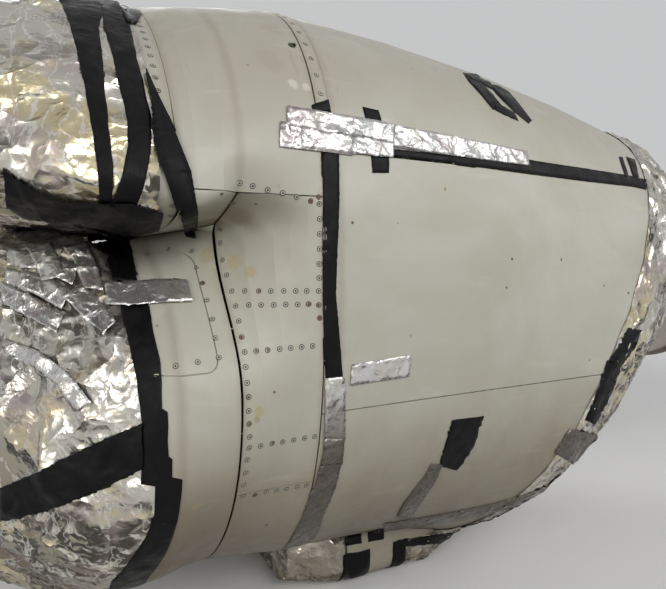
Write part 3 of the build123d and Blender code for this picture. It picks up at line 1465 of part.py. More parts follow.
# Foil from the canted aft edge down to the hot section, and a cap over the exhaust
with BuildPart() as aft_foil:
    loft(aft_foil_faces(0), ruled=True)
    loft(aft_foil_faces(-FOIL), ruled=True, mode=Mode.SUBTRACT)
    turned([
        (exhaust_end - FLANGE_LENGTH * 4, EXHAUST_RADIUS + FLANGE_RISE + SEAT),
        (exhaust_end - FLANGE_LENGTH * 4, EXHAUST_RADIUS + FLANGE_RISE + SEAT + FOIL),
        (exhaust_end + FLANGE_LENGTH, EXHAUST_RADIUS + FLANGE_RISE + SEAT + FOIL),
        (exhaust_end + FLANGE_LENGTH + FOIL, EXHAUST_RADIUS), (exhaust_end + FLANGE_LENGTH + FOIL, 0),
        (exhaust_end + FLANGE_LENGTH, 0),
        (exhaust_end + FLANGE_LENGTH, EXHAUST_RADIUS + FLANGE_RISE + SEAT),
    ], POWER_AXIS_Z)
save(aft_foil.part, "aft_foil")

# Foil over the oil cooler's inlet and exit
with BuildPart() as cooler_foil:
    for outer, mode in ((FOIL_LIFT + FOIL, Mode.ADD), (FOIL_LIFT, Mode.SUBTRACT)):
        end = outer - FOIL_LIFT
        loft([cooler_face(i, outer) for i in range(len(COOLER_X))], ruled=True, mode=mode)
        for i, way in ((0, -1), (len(COOLER_X) - 1, 1)):
            extrude(cooler_face(i, outer), amount=way * (end + SEAT), mode=mode)
    with BuildSketch(station_plane(COOLER_FOIL_X[0])):
        Rectangle(4 * COOLER_HALF_WIDTH[1], 8 * COOLER_HALF_WIDTH[1])
    extrude(amount=COOLER_FOIL_X[1] - COOLER_FOIL_X[0], mode=Mode.SUBTRACT)
    add(body_block.part, mode=Mode.SUBTRACT)
save(cooler_foil.part, "cooler_foil")


def door_tape(row, x0, x1, z0, z1):
    """A tape on the left side's doors, trimmed to a box."""
    with BuildPart() as tape:
        loft([
            strip(o, row(o), SEAT + TAPE, TAPE) for o in door_sections
        ], ruled=True)
        kept_box(x0, x1, -REACH, 0, z0, z1)
    return tape.part


def upper_row(o):
    """The left cowl door's row on a section."""
    return side_row(o, DOOR_TOP_Z - SEAM / 2, DOOR_HINGE_Z + SEAM / 2, -1)


def lower_row(o):
    """The left lower door's row on a section."""
    return side_row(o, DOOR_HINGE_Z - SEAM / 2, DOOR_FOOT_Z + SEAM / 2, -1)


with BuildPart() as black_tape:
    for box in BLACK_DOOR_TAPES:
        add(door_tape(upper_row, *box))
    for box in BLACK_LOWER_TAPES:
        add(door_tape(lower_row, *box))
save(black_tape.part, "black_tape")

with BuildPart() as foil_tape:
    for box in FOIL_DOOR_TAPES:
        add(door_tape(upper_row, *box))
    for box in FOIL_LOWER_TAPES:
        add(door_tape(lower_row, *box))
save(foil_tape.part, "foil_tape")
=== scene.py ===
"""Turboprop power unit dressed as it was photographed: painted cowling, foil wraps, tapes, screws."""

import logging
import math
from dataclasses import dataclass, field
from enum import Enum
from typing import Callable, Iterable, Sequence

import bpy
from mathutils import Matrix, Vector, noise
from mathutils.bvhtree import BVHTree


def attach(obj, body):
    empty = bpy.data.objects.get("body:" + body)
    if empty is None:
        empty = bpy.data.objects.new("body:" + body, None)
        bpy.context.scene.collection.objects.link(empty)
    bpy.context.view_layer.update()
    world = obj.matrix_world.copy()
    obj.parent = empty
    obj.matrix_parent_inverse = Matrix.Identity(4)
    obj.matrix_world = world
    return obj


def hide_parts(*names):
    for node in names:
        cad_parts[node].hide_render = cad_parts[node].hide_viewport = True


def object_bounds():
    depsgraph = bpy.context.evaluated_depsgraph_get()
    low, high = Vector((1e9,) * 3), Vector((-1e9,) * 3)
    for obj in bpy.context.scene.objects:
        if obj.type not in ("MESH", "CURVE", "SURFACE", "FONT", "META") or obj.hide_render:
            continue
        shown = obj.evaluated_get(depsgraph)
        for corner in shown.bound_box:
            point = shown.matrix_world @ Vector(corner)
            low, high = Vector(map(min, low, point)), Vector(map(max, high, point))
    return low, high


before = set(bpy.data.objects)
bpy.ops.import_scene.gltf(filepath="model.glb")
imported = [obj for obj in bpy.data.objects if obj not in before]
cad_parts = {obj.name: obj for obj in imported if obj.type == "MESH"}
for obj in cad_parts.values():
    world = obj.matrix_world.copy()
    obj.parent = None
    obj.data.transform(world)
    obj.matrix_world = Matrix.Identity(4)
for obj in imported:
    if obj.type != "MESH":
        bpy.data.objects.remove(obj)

logging.basicConfig(level=logging.INFO, format="%(levelname)s %(message)s")
log = logging.getLogger("power_unit")

CAD_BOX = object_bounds()
BODY = "power_unit"
# Lengths are in metres and angles in degrees; names in _PX are in pixels of the photograph
ROTOR_LEVEL = 0.264
SCOOP_LEVEL = 0.5
FAR = 20.0
SEARCH_STEPS = 60
SEAM_GAP_PX = 1.2
SEAM_GAP_DEPTH = 0.0015
AXIS_REACH = 1.6
AXIS_CLEARANCE = 0.12
CAST_REACH = 2.2
RIM_TILT = 88.0
RIM_STEPS = 900
TILT_STEP = 0.6
FILM_LIFT = 0.0012
PRESS_WIDTH = 0.022
TORN_EDGE = 0.0014
BAND_LEAP = 0.06
STRIP_LEAP = 0.12
BAND_THICKNESS = 0.0007
STRIP_THICKNESS = 0.0006
STRIP_PITCH_PX = (3.0, 2.5)
TURN_SEED = 7
FOLD_SEED = 11
GATHER_DEPTH = 0.052
CANT_START = 1.6898
CANT_SLOPE = 0.529
CANT_LEVEL = 0.29
Pixel = tuple[float, float]
Spot = tuple[Vector, Vector]
Colour = tuple[float, float, float]


class Side(Enum):
    """The two sides of the engine, as the sign of Y."""

    LEFT = -1
    RIGHT = 1


class Tape(Enum):
    """The two kinds of tape, with the height at which each lies over the skin."""

    BLACK = 0.0011
    FOIL = 0.0024


@dataclass(frozen=True)
class PhotoView:
    """The photograph's camera, and the rays through its pixels."""

    place: tuple[float, float, float] = (0.177, -1.6247, 0.3931)
    forward: tuple[float, float, float] = (0.4784, 0.8746, -0.0791)
    right: tuple[float, float, float] = (0.8773, -0.4799, 0.0)
    up: tuple[float, float, float] = (0.0380, 0.0694, 0.9969)
    roll_degrees: float = 0.568
    focal_px: float = 570.57
    centre_px: Pixel = (332.3, 294.5)
    width_px: float = 666.0
    sensor_mm: float = 36.0

    def axes(self) -> tuple[Vector, Vector, Vector]:
        """Right, up and forward of the rolled camera."""
        roll = math.radians(self.roll_degrees)
        right, up = Vector(self.right), Vector(self.up)
        turned_right = math.cos(roll) * right + math.sin(roll) * up
        turned_up = math.cos(roll) * up - math.sin(roll) * right
        return turned_right.normalized(), turned_up.normalized(), Vector(self.forward).normalized()

    def ray(self, pixel: Pixel) -> Vector:
        """Direction from the camera through a pixel of the photograph.

        Args:
            pixel: column and row in the photograph's frame.

        Returns:
            A unit vector.
        """
        right, up, forward = self.axes()
        across = (pixel[0] - self.centre_px[0]) / self.focal_px
        down = (pixel[1] - self.centre_px[1]) / self.focal_px
        return (forward + across * right - down * up).normalized()

    def build(self) -> bpy.types.Object:
        """Make the camera and show the scene through it."""
        right, up, forward = self.axes()
        data = bpy.data.cameras.new("photo_camera")
        data.sensor_width = self.sensor_mm
        data.lens = self.focal_px / self.width_px * self.sensor_mm
        camera = shown("photo_camera", data)
        turn = Matrix((right, up, -forward)).transposed().to_4x4()
        camera.matrix_world = Matrix.Translation(self.place) @ turn
        bpy.context.scene.camera = camera
        return camera


class Skin:
    """The faces of some CAD nodes and finished pieces, which other pieces are laid on."""

    def __init__(self, *carriers: str | bpy.types.Object) -> None:
        """Gather the faces of the carriers in one search tree.

        Args:
            carriers: names of CAD nodes, or pieces.
        """
        corners: list[Vector] = []
        faces: list[list[int]] = []
        for carrier in carriers:
            mesh = (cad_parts[carrier] if isinstance(carrier, str) else carrier).data
            start = len(corners)
            corners += [vertex.co.copy() for vertex in mesh.vertices]
            faces += [[start + i for i in face.vertices] for face in mesh.polygons]
        self.tree = BVHTree.FromPolygons(corners, faces)

    def along(self, start: Vector, way: Vector, reach: float = FAR) -> Spot | None:
        """The first spot that a ray meets, with the skin's outward direction there."""
        hit, facing, _, _ = self.tree.ray_cast(start, way, reach)
        if hit is None:
            return None
        return hit, facing if facing.dot(way) < 0 else -facing

    def under_pixel(self, view: PhotoView, pixel: Pixel) -> Spot:
        """The spot that a pixel shows, drawn in towards the picture's middle where it misses.

        A ray that slips through a seam's gap is replaced by its nearest neighbour.

        Args:
            view: the photograph's camera.
            pixel: column and row in the photograph.

        Returns:
            The spot and its outward direction.
        """
        start = Vector(view.place)
        column, row = pixel
        for _ in range(SEARCH_STEPS):
            spots = [
                self.along(start, view.ray((column + aside, row + down)))
                for aside, down in (
                    (0.0, 0.0), (SEAM_GAP_PX, 0.0), (-SEAM_GAP_PX, 0.0), (0.0, SEAM_GAP_PX),
                    (0.0, -SEAM_GAP_PX),
                )
            ]
            far = [(spot[0] - start).length if spot else math.inf for spot in spots]
            level = min((far[1] + far[2]) / 2, (far[3] + far[4]) / 2)
            if spots[0] and far[0] - level < SEAM_GAP_DEPTH:
                return spots[0]
            if min(far) < math.inf:
                return spots[far.index(min(far))]
            length = math.hypot(view.centre_px[0] - column, view.centre_px[1] - row)
            column += (view.centre_px[0] - column) / length
            row += (view.centre_px[1] - row) / length
        raise ValueError(f"no skin near pixel {pixel}")

    def round_axis(self, x: float, angle: float, level: float, reach: float = AXIS_REACH) -> Spot | None:
        """The spot met from outside, square to an axis along X.

        Args:
            x: distance aft of the propeller's seat.
            angle: degrees up from the left side, 90 at the crown.
            level: height of the axis.
            reach: distance to start from.

        Returns:
            The spot and its outward direction, or None.
        """
        for shift, turn in (
            (0.0, 0.0), (0.003, 0.0), (-0.003, 0.0), (0.0, 0.5), (0.0, -0.5), (0.006, 0.8),
        ):
            lean = math.radians(angle + turn)
            out = Vector((0.0, -math.cos(lean), math.sin(lean)))
            spot = self.along(Vector((x + shift, 0.0, level)) + out * reach, -out, reach - AXIS_CLEARANCE)
            if spot:
                return spot
        return None


class Nodes:
    """A node tree, with short calls that add a node and give one of its outputs."""

    def __init__(self, tree: bpy.types.NodeTree) -> None:
        """Take the tree that the nodes go into."""
        self.tree = tree

    def join(self, socket: bpy.types.NodeSocket, value: object) -> None:
        """Link another socket to an input, or give the input a plain value."""
        if isinstance(value, bpy.types.NodeSocket):
            self.tree.links.new(value, socket)
        else:
            socket.default_value = value

    def node(
        self, kind: str, outlet: str | int, inputs: dict[str | int, object], **modes: str,
    ) -> bpy.types.NodeSocket:
        """Add a node.

        Args:
            kind: the node's type.
            outlet: the output that is wanted.
            inputs: a socket or a plain value for each input that is set.
            modes: the node's own settings, which are set first.

        Returns:
            The wanted output.
        """
        node = self.tree.nodes.new(kind)
        for key, value in modes.items():
            setattr(node, key, value)
        for key, value in inputs.items():
            self.join(node.inputs[key], value)
        return node.outputs[outlet]

    def maths(self, kind: str, first: object, second: object = 0.0) -> bpy.types.NodeSocket:
        """Arithmetic on two sockets or numbers."""
        return self.node("ShaderNodeMath", "Value", {0: first, 1: second}, operation=kind)

    def mixed(self, share: bpy.types.NodeSocket, first: object, second: object) -> bpy.types.NodeSocket:
        """A blend of two colours, each a socket or a plain colour."""
        one, other = (
            tone if isinstance(tone, bpy.types.NodeSocket) else (*tone, 1.0) for tone in (first, second)
        )
        return self.node("ShaderNodeMix", 2, {0: share, 6: one, 7: other}, data_type="RGBA")


class Shader(Nodes):
    """A material's node tree, with short calls for the nodes that the finishes share."""

    def __init__(self, name: str) -> None:
        """Start a material on the piece's own coordinates."""
        self.material = bpy.data.materials.new(name)
        self.material.use_nodes = True
        super().__init__(self.material.node_tree)
        self.surface = self.tree.nodes["Principled BSDF"]
        self.place = self.node("ShaderNodeTexCoord", "Object", {})

    def stretched(self, scale: Sequence[float]) -> bpy.types.NodeSocket:
        """The piece's coordinates, drawn out along the axes."""
        return self.node("ShaderNodeMapping", "Vector", {"Scale": scale, "Vector": self.place})

    def noise(
        self, scale: float, detail: float = 4.0, roughness: float = 0.55,
        distortion: float = 0.0, place: bpy.types.NodeSocket | None = None,
    ) -> bpy.types.NodeSocket:
        """Cloudy noise from 0 to 1."""
        return self.node("ShaderNodeTexNoise", "Fac", {
            "Scale": scale, "Detail": detail, "Roughness": roughness, "Distortion": distortion,
            "Vector": place or self.place,
        })

    def cells(self, scale: float) -> bpy.types.NodeSocket:
        """Distance to the nearest spot of a scattered pattern."""
        return self.node("ShaderNodeTexVoronoi", "Distance", {"Scale": scale, "Vector": self.place})

    def warped(self, amount: float, scale: float) -> bpy.types.NodeSocket:
        """The piece's coordinates, pushed about by a cloudy noise."""
        cloud = self.node("ShaderNodeTexNoise", "Color", {"Scale": scale, "Vector": self.place})
        return self.node(
            "ShaderNodeVectorMath", "Vector", {0: cloud, 1: (amount,) * 3, 2: self.place},
            operation="MULTIPLY_ADD",
        )

    def ridges(self, scale: float, place: bpy.types.NodeSocket) -> bpy.types.NodeSocket:
        """Sharp folds, from about 0 to 1."""
        level = self.noise(scale, 1.5, 0.45, 0.0, place)
        apart = self.maths("ABSOLUTE", self.maths("SUBTRACT", level, 0.5))
        return self.maths("SUBTRACT", 1.0, self.maths("MULTIPLY", apart, 4.0))

    def swing(
        self, normal: bpy.types.NodeSocket, way: Sequence[float], turns: float,
        drift: bpy.types.NodeSocket,
    ) -> bpy.types.NodeSocket:
        """Bands from -1 to 1 that follow how far the surface leans towards one way."""
        lean = self.node("ShaderNodeVectorMath", "Value", {0: normal, 1: way}, operation="DOT_PRODUCT")
        return self.maths("SINE", self.maths("ADD", self.maths("MULTIPLY", lean, turns), drift))

    def height(self, axis: str = "Z") -> bpy.types.NodeSocket:
        """One coordinate of the piece's own place."""
        return self.node("ShaderNodeSeparateXYZ", axis, {"Vector": self.place})

    def ranged(
        self, value: bpy.types.NodeSocket, low: float, high: float,
        start: float = 0.0, end: float = 1.0,
    ) -> bpy.types.NodeSocket:
        """A value taken smoothly from one range to another, and held at its ends."""
        return self.node("ShaderNodeMapRange", "Result", {
            "From Min": low, "From Max": high, "To Min": start, "To Max": end, "Value": value,
        }, interpolation_type="SMOOTHSTEP")

    def near(
        self, spot: Sequence[float], radius: float, ragged: bpy.types.NodeSocket,
    ) -> bpy.types.NodeSocket:
        """1 in a ragged patch round a spot, and 0 away from it."""
        away = self.node("ShaderNodeVectorMath", "Value", {0: self.place, 1: spot}, operation="DISTANCE")
        wavy = self.maths("ADD", away, self.maths("MULTIPLY", ragged, radius * 1.6))
        return self.ranged(wavy, radius * 1.35, radius * 1.9, 1.0, 0.0)

    def bumped(
        self, level: bpy.types.NodeSocket, strength: float, depth: float,
        under: bpy.types.NodeSocket | None = None,
    ) -> bpy.types.NodeSocket:
        """A bump of a depth in metres, over another one if given."""
        inputs = {"Strength": strength, "Distance": depth, "Height": level}
        if under is not None:
            inputs["Normal"] = under
        return self.node("ShaderNodeBump", "Normal", inputs)

    def finish(
        self, colour: bpy.types.NodeSocket, roughness: bpy.types.NodeSocket,
        normal: bpy.types.NodeSocket, metallic: float = 0.0,
    ) -> bpy.types.Material:
        """Join the worked-out colour, roughness and normal to the surface."""
        for label, value in (
            ("Base Color", colour), ("Roughness", roughness), ("Normal", normal), ("Metallic", metallic),
        ):
            self.join(self.surface.inputs[label], value)
        return self.material


@dataclass(frozen=True)
class StainAndShade:
    """A mark on the paint: where it is, how large, and its colour and strength; some marks are stains and
    some are painted shade.
    """

    spot: tuple[float, float, float]
    radius: float
    colour: Colour
    strength: float


@dataclass(frozen=True)
class WornPaint:
    """Warm grey paint with grime, specks, scuffs and stains, painted shade low down and on the lower
    nose, and a darker tone towards the top.
    """

    name: str
    light: Colour = (0.505, 0.500, 0.440)
    shade: Colour = (0.425, 0.415, 0.345)
    grime_and_shade: Colour = (0.24, 0.20, 0.14)
    speck: Colour = (0.085, 0.060, 0.035)
    seams: tuple[float, ...] = (0.42, 0.53, 0.70, 0.735)
    stains_and_shade: tuple[StainAndShade, ...] = ()

    def material(self) -> bpy.types.Material:
        """Build the paint's node tree."""
        shader = Shader(self.name)
        clouds = shader.noise(2.6, 5.0, 0.6, 0.4)
        tone = shader.mixed(shader.ranged(clouds, 0.32, 0.68), self.light, self.shade)
        # Painted shade: darker towards the grime colour low down, and darker brown still low on the nose.
        low = shader.ranged(shader.height("Z"), -0.22, 0.12, 0.95, 0.0)
        tone = shader.mixed(shader.maths("MULTIPLY", low, 0.68), tone, self.grime_and_shade)
        nose = shader.maths("MULTIPLY", low, shader.ranged(shader.height("X"), 0.42, 0.66, 0.95, 0.0))
        tone = shader.mixed(nose, tone, (0.19, 0.15, 0.10))
        # Darker towards the top.
        high = shader.ranged(shader.height("Z"), 0.42, 0.82, 0.0, 0.50)
        tone = shader.mixed(high, tone, (0.30, 0.27, 0.22))
        blotches = shader.ranged(shader.noise(7.0, 6.0, 0.65), 0.42, 0.70)
        dirty = shader.maths("MULTIPLY", shader.maths("ADD", low, 0.10), blotches)
        tone = shader.mixed(shader.maths("MULTIPLY", dirty, 0.42), tone, self.grime_and_shade)
        wavy = shader.maths("MULTIPLY", shader.noise(30.0, 3.0), 0.012)
        along = shader.height("X")
        for seam in self.seams:
            apart = shader.maths("ABSOLUTE", shader.maths("SUBTRACT", along, seam))
            line = shader.ranged(shader.maths("ADD", apart, wavy), 0.006, 0.022, 0.34, 0.0)
            tone = shader.mixed(line, tone, self.grime_and_shade)
        streaks = shader.noise(26.0, 3.0, 0.5, 0.2, shader.stretched((0.25, 1.0, 1.0)))
        tone = shader.mixed(shader.ranged(streaks, 0.60, 0.78, 0.0, 0.20), tone, (0.62, 0.60, 0.54))
        scuffs = shader.noise(52.0, 2.0, 0.5, 1.2, shader.stretched((1.0, 0.22, 0.22)))
        above = shader.ranged(shader.height("Z"), 0.55, 0.85, 0.0, 0.5)
        scuffed = shader.maths("MULTIPLY", shader.ranged(scuffs, 0.66, 0.74), above)
        tone = shader.mixed(scuffed, tone, (0.30, 0.26, 0.20))
        specks = shader.ranged(shader.cells(17.0), 0.045, 0.075, 1.0, 0.0)
        few = shader.ranged(shader.noise(5.0, 2.0), 0.52, 0.60)
        tone = shader.mixed(shader.maths("MULTIPLY", specks, few), tone, self.speck)
        ragged = shader.noise(34.0, 4.0, 0.7)
        for paint_mark in self.stains_and_shade:
            patch = shader.near(paint_mark.spot, paint_mark.radius, ragged)
            tone = shader.mixed(shader.maths("MULTIPLY", patch, paint_mark.strength), tone, paint_mark.colour)
        rough = shader.ranged(shader.noise(18.0, 5.0, 0.6), 0.25, 0.75, 0.36, 0.56)
        fine = shader.bumped(shader.noise(420.0, 2.0), 0.10, 0.0004)
        waves = shader.bumped(shader.noise(4.5, 2.0), 0.22, 0.004, fine)
        return shader.finish(tone, rough, waves)


@dataclass(frozen=True)
class CreasedFoil:
    """Crumpled metal film: sharp folds in three sizes, with painted reflections: bands that follow each
    fold's slope, a warm tint on their light side, glints, and a darker tone low down.
    """

    name: str
    bright: Colour = (0.57, 0.55, 0.50)
    dark_reflection: Colour = (0.095, 0.086, 0.070)
    gold: Colour = (0.64, 0.53, 0.27)
    rose: Colour = (0.52, 0.43, 0.42)
    # Colour, strength and heights of the painted reflection of a dark floor low down.
    low_tone: Colour = (0.17, 0.135, 0.085)
    low_share: float = 0.55
    low: tuple[float, float] = (-0.52, -0.05)
    fold_scale: float = 4.2
    depth: float = 0.038
    roughness: tuple[float, float] = (0.20, 0.38)
    metal: float = 0.88

    def material(self) -> bpy.types.Material:
        """Build the film's node tree."""
        shader = Shader(self.name)
        place = shader.warped(0.05, 6.0)
        normal = None
        for step, depth in ((1.0, 1.0), (2.7, 0.25), (8.5, 0.045)):
            folds = shader.ridges(self.fold_scale * step, place)
            normal = shader.bumped(folds, 0.9, self.depth * depth, normal)
        # Painted reflection: dark and light bands that follow the slope of the folds.
        drift = shader.maths("MULTIPLY", shader.noise(3.0, 2.0), 7.0)
        swing = shader.swing(normal, (-0.35, -0.62, 0.70), 6.0, drift)
        tone = shader.mixed(shader.ranged(swing, -1.05, 0.25), self.dark_reflection, self.bright)
        # Gold tint in noisy patches, shown on the light bands as a painted warm reflection.
        gilt = shader.ranged(shader.noise(7.0, 3.0, 0.6, 0.8), 0.46, 0.62, 0.0, 0.65)
        gilt_and_warm_reflection = shader.maths("MULTIPLY", gilt, shader.ranged(swing, -0.8, 0.6))
        tone = shader.mixed(gilt_and_warm_reflection, tone, self.gold)
        flush = shader.ranged(shader.noise(5.5, 3.0, 0.6, 1.4), 0.50, 0.64, 0.0, 0.55)
        tone = shader.mixed(flush, tone, self.rose)
        # Painted glint: a pale highlight band on one slope of the folds.
        glint = shader.swing(normal, (0.62, -0.55, 0.25), 13.0, drift)
        tone = shader.mixed(shader.ranged(glint, 0.72, 0.98, 0.0, 0.70), tone, (0.80, 0.79, 0.74))
        # Painted reflection of a dark floor: darker towards the bottom.
        shaded = shader.ranged(shader.height("Z"), *self.low, self.low_share, 0.0)
        tone = shader.mixed(shaded, tone, self.low_tone)
        rough = shader.ranged(shader.noise(30.0, 3.0), 0.3, 0.7, *self.roughness)
        return shader.finish(tone, rough, normal, self.metal)


@dataclass(frozen=True)
class ClothTape:
    """Black cloth tape with a satin film, fine wrinkles and patches of dust."""

    name: str
    colour: Colour = (0.0034, 0.0034, 0.0040)
    dust: Colour = (0.011, 0.011, 0.013)

    def material(self) -> bpy.types.Material:
        """Build the tape's node tree."""
        shader = Shader(self.name)
        clouds = shader.noise(11.0, 5.0, 0.65, 0.6)
        tone = shader.mixed(shader.ranged(clouds, 0.48, 0.80), self.colour, self.dust)
        rough = shader.ranged(shader.noise(24.0, 4.0), 0.3, 0.7, 0.36, 0.60)
        shader.surface.inputs["Specular IOR Level"].default_value = 0.14
        wrinkles = shader.noise(38.0, 4.0, 0.6, 1.8, shader.stretched((1.0, 1.0, 0.45)))
        normal = shader.bumped(wrinkles, 0.55, 0.003)
        weave = shader.noise(900.0, 1.0)
        return shader.finish(tone, rough, shader.bumped(weave, 0.12, 0.0003, normal))


@dataclass(frozen=True)
class BareMetal:
    """Machined or cast metal with a grain and heat or handling marks."""

    name: str
    colour: Colour
    mark: Colour
    roughness: tuple[float, float]
    grain: float
    grain_stretch: tuple[float, float, float] = (1.0, 1.0, 1.0)

    def material(self) -> bpy.types.Material:
        """Build the metal's node tree."""
        shader = Shader(self.name)
        clouds = shader.noise(4.0, 6.0, 0.62, 0.5)
        tone = shader.mixed(shader.ranged(clouds, 0.45, 0.72, 0.0, 0.75), self.colour, self.mark)
        place = shader.stretched(self.grain_stretch)
        grains = shader.noise(self.grain, 3.0, 0.6, 0.0, place)
        rough = shader.ranged(grains, 0.3, 0.7, *self.roughness)
        normal = shader.bumped(grains, 0.25, 0.0006)
        return shader.finish(tone, rough, normal, 0.9)


@dataclass(frozen=True)
class ScrewFinish:
    """A screw's painted head, its dark gap, and its slot darkened as painted shade, with rust on some."""

    name: str
    colour: Colour
    rust: Colour
    rusted: float
    metallic: float = 0.0

    def material(self) -> bpy.types.Material:
        """Build the finish, whose rust comes and goes from screw to screw."""
        shader = Shader(self.name)
        which = shader.noise(14.0, 2.0)
        limit = 1.0 - self.rusted
        tone = shader.mixed(shader.ranged(which, limit - 0.04, limit + 0.04), self.colour, self.rust)
        grain = shader.noise(600.0, 2.0)
        rough = shader.ranged(grain, 0.3, 0.7, 0.42, 0.62)
        return shader.finish(tone, rough, shader.bumped(grain, 0.2, 0.0003), self.metallic)


def shown(name: str, data: bpy.types.ID) -> bpy.types.Object:
    """An object of some mesh, lamp or camera data, in the scene."""
    thing = bpy.data.objects.new(name, data)
    bpy.context.scene.collection.objects.link(thing)
    return thing


def mirrored(spot: Spot) -> Spot:
    """The same spot on the other side of the engine."""
    place, facing = spot
    return Vector((place.x, -place.y, place.z)), Vector((facing.x, -facing.y, facing.z))


def turned_out(faces: list[list[int]], ring: Sequence[Vector], out: Vector) -> list[list[int]]:
    """The faces, turned over if three corners of one of them face against a direction."""
    a, b, c = ring
    if (b - a).cross(c - a).dot(out) < 0:
        return [list(reversed(face)) for face in faces]
    return faces


def placed(name: str, corners: Sequence[Vector], faces: Iterable[Sequence[int]],
           material: bpy.types.Material) -> bpy.types.Object:
    """A mesh piece in the scene, with its place in its mesh.

    Args:
        name: the piece's name.
        corners: its vertices, in metres.
        faces: vertex numbers of each face.
        material: its finish.

    Returns:
        The piece, smooth shaded and riding on the engine's body.
    """
    mesh = bpy.data.meshes.new(name)
    mesh.from_pydata([tuple(corner) for corner in corners], [], [tuple(face) for face in faces])
    mesh.materials.append(material)
    mesh.polygons.foreach_set("use_smooth", [True] * len(mesh.polygons))
    mesh.update()
    piece = shown(name, mesh)
    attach(piece, BODY)
    area = sum(face.area for face in mesh.polygons)
    log.info("%s: %d faces, %.2f square metres", name, len(mesh.polygons), area)
    return piece


def grid_faces(rows: int, columns: int, start: int = 0, joined: bool = False) -> list[list[int]]:
    """Faces of a grid of vertices, whose rows may close on themselves."""
    faces = []
    for i in range(rows - 1):
        for j in range(columns if joined else columns - 1):
            k = (j + 1) % columns
            faces.append([
                start + i * columns + j, start + i * columns + k,
                start + (i + 1) * columns + k, start + (i + 1) * columns + j,
            ])
    return faces


def film(rows: Sequence[Sequence[Spot]], lift: float, thickness: float,
         wrinkle: Callable[[Vector], float]) -> tuple[list[Vector], list[list[int]]]:
    """A closed thin strip over a grid of spots: an upper face, a lower one and a rim.

    Args:
        rows: spots of the skin, row by row.
        lift: height of the lower face over the skin.
        thickness: the film's thickness.
        wrinkle: extra height of the upper face at a place.

    Returns:
        The strip's vertices and faces.
    """
    count, width = len(rows), len(rows[0])
    lower = [spot + facing * lift for row in rows for spot, facing in row]
    upper = [
        spot + facing * (lift + thickness + wrinkle(spot)) for row in rows for spot, facing in row
    ]
    total = count * width
    top = grid_faces(count, width)
    faces = top + [[total + k for k in reversed(face)] for face in top]
    rim = (
        [i for i in range(width)] + [i * width + width - 1 for i in range(1, count)]
        + [(count - 1) * width + i for i in range(width - 2, -1, -1)]
        + [i * width for i in range(count - 2, 0, -1)]
    )
    for i, j in zip(rim, rim[1:] + rim[:1]):
        faces.append([j, i, total + i, total + j])
    faces = turned_out(faces, (upper[0], upper[1], upper[width]), rows[0][0][1])
    return upper + lower, faces


def films(rows: Sequence[Sequence[Spot]], leap: float, lift: float, thickness: float,
          wrinkle: Callable[[Vector], float]) -> tuple[list[Vector], list[list[int]]]:
    """Strips over a grid of spots, cut wherever two rows lie more than a leap apart."""
    corners: list[Vector] = []
    faces: list[list[int]] = []
    run = [rows[0]]
    for row in [*rows[1:], None]:
        if row and max((a[0] - b[0]).length for a, b in zip(row, run[-1])) < leap:
            run.append(row)
            continue
        if len(run) > 1:
            points, strip_faces = film(run, lift, thickness, wrinkle)
            faces += [[len(corners) + k for k in face] for face in strip_faces]
            corners += points
        run = [row]
    return corners, faces


def creases(cell: float, depth: float, seed: float, stretch: Vector = Vector((1, 1, 1))
            ) -> Callable[[Vector], float]:
    """Height of creased film: sharp ridges in three sizes with hollows between them.

    Args:
        cell: width of the larger flats.
        depth: greatest height.
        seed: moves the pattern.
        stretch: draws the flats out along the axes.

    Returns:
        A function from a place to a height.
    """
    offset = Vector((seed * 3.7, seed * 1.3, seed * 2.1))

    def at(place: Vector) -> float:
        """Height at a place."""
        warped = place + 0.35 * cell * Vector(noise.noise_vector(place / (cell * 1.3) + offset))
        spread = Vector((warped.x * stretch.x, warped.y * stretch.y, warped.z * stretch.z))
        total = 0.0
        for share, size in ((0.56, 1.15), (0.28, 0.44), (0.16, 0.19)):
            level = abs(noise.noise(spread / (cell * size) + offset))
            total += share * max(0.0, 1.0 - 2.3 * level) ** 1.4
        return depth * total

    return at


def smooth_wrinkle(depth: float, size: float, seed: float) -> Callable[[Vector], float]:
    """Low soft wrinkles for tape."""
    offset = Vector((seed, seed * 2.0, -seed))
    return lambda place: depth * max(0.0, noise.noise(place / size + offset))


def between(table: Sequence[tuple[float, float]], at: float) -> float:
    """Value read from a table of (place, value), held at its ends."""
    if at <= table[0][0]:
        return table[0][1]
    for (x0, y0), (x1, y1) in zip(table, table[1:]):
        if at <= x1:
            return y0 + (y1 - y0) * (at - x0) / (x1 - x0)
    return table[-1][1]


def spread(points: Sequence[Vector], count: int) -> list[Vector]:
    """A row of points again, evenly spaced along its length."""
    runs = [0.0]
    for a, b in zip(points, points[1:]):
        runs.append(runs[-1] + (b - a).length)
    result = []
    j = 0
    for i in range(count):
        goal = runs[-1] * i / (count - 1)
        while j < len(runs) - 2 and runs[j + 1] < goal:
            j += 1
        share = (goal - runs[j]) / max(1e-9, runs[j + 1] - runs[j])
        result.append(points[j].lerp(points[j + 1], min(1.0, max(0.0, share))))
    return result


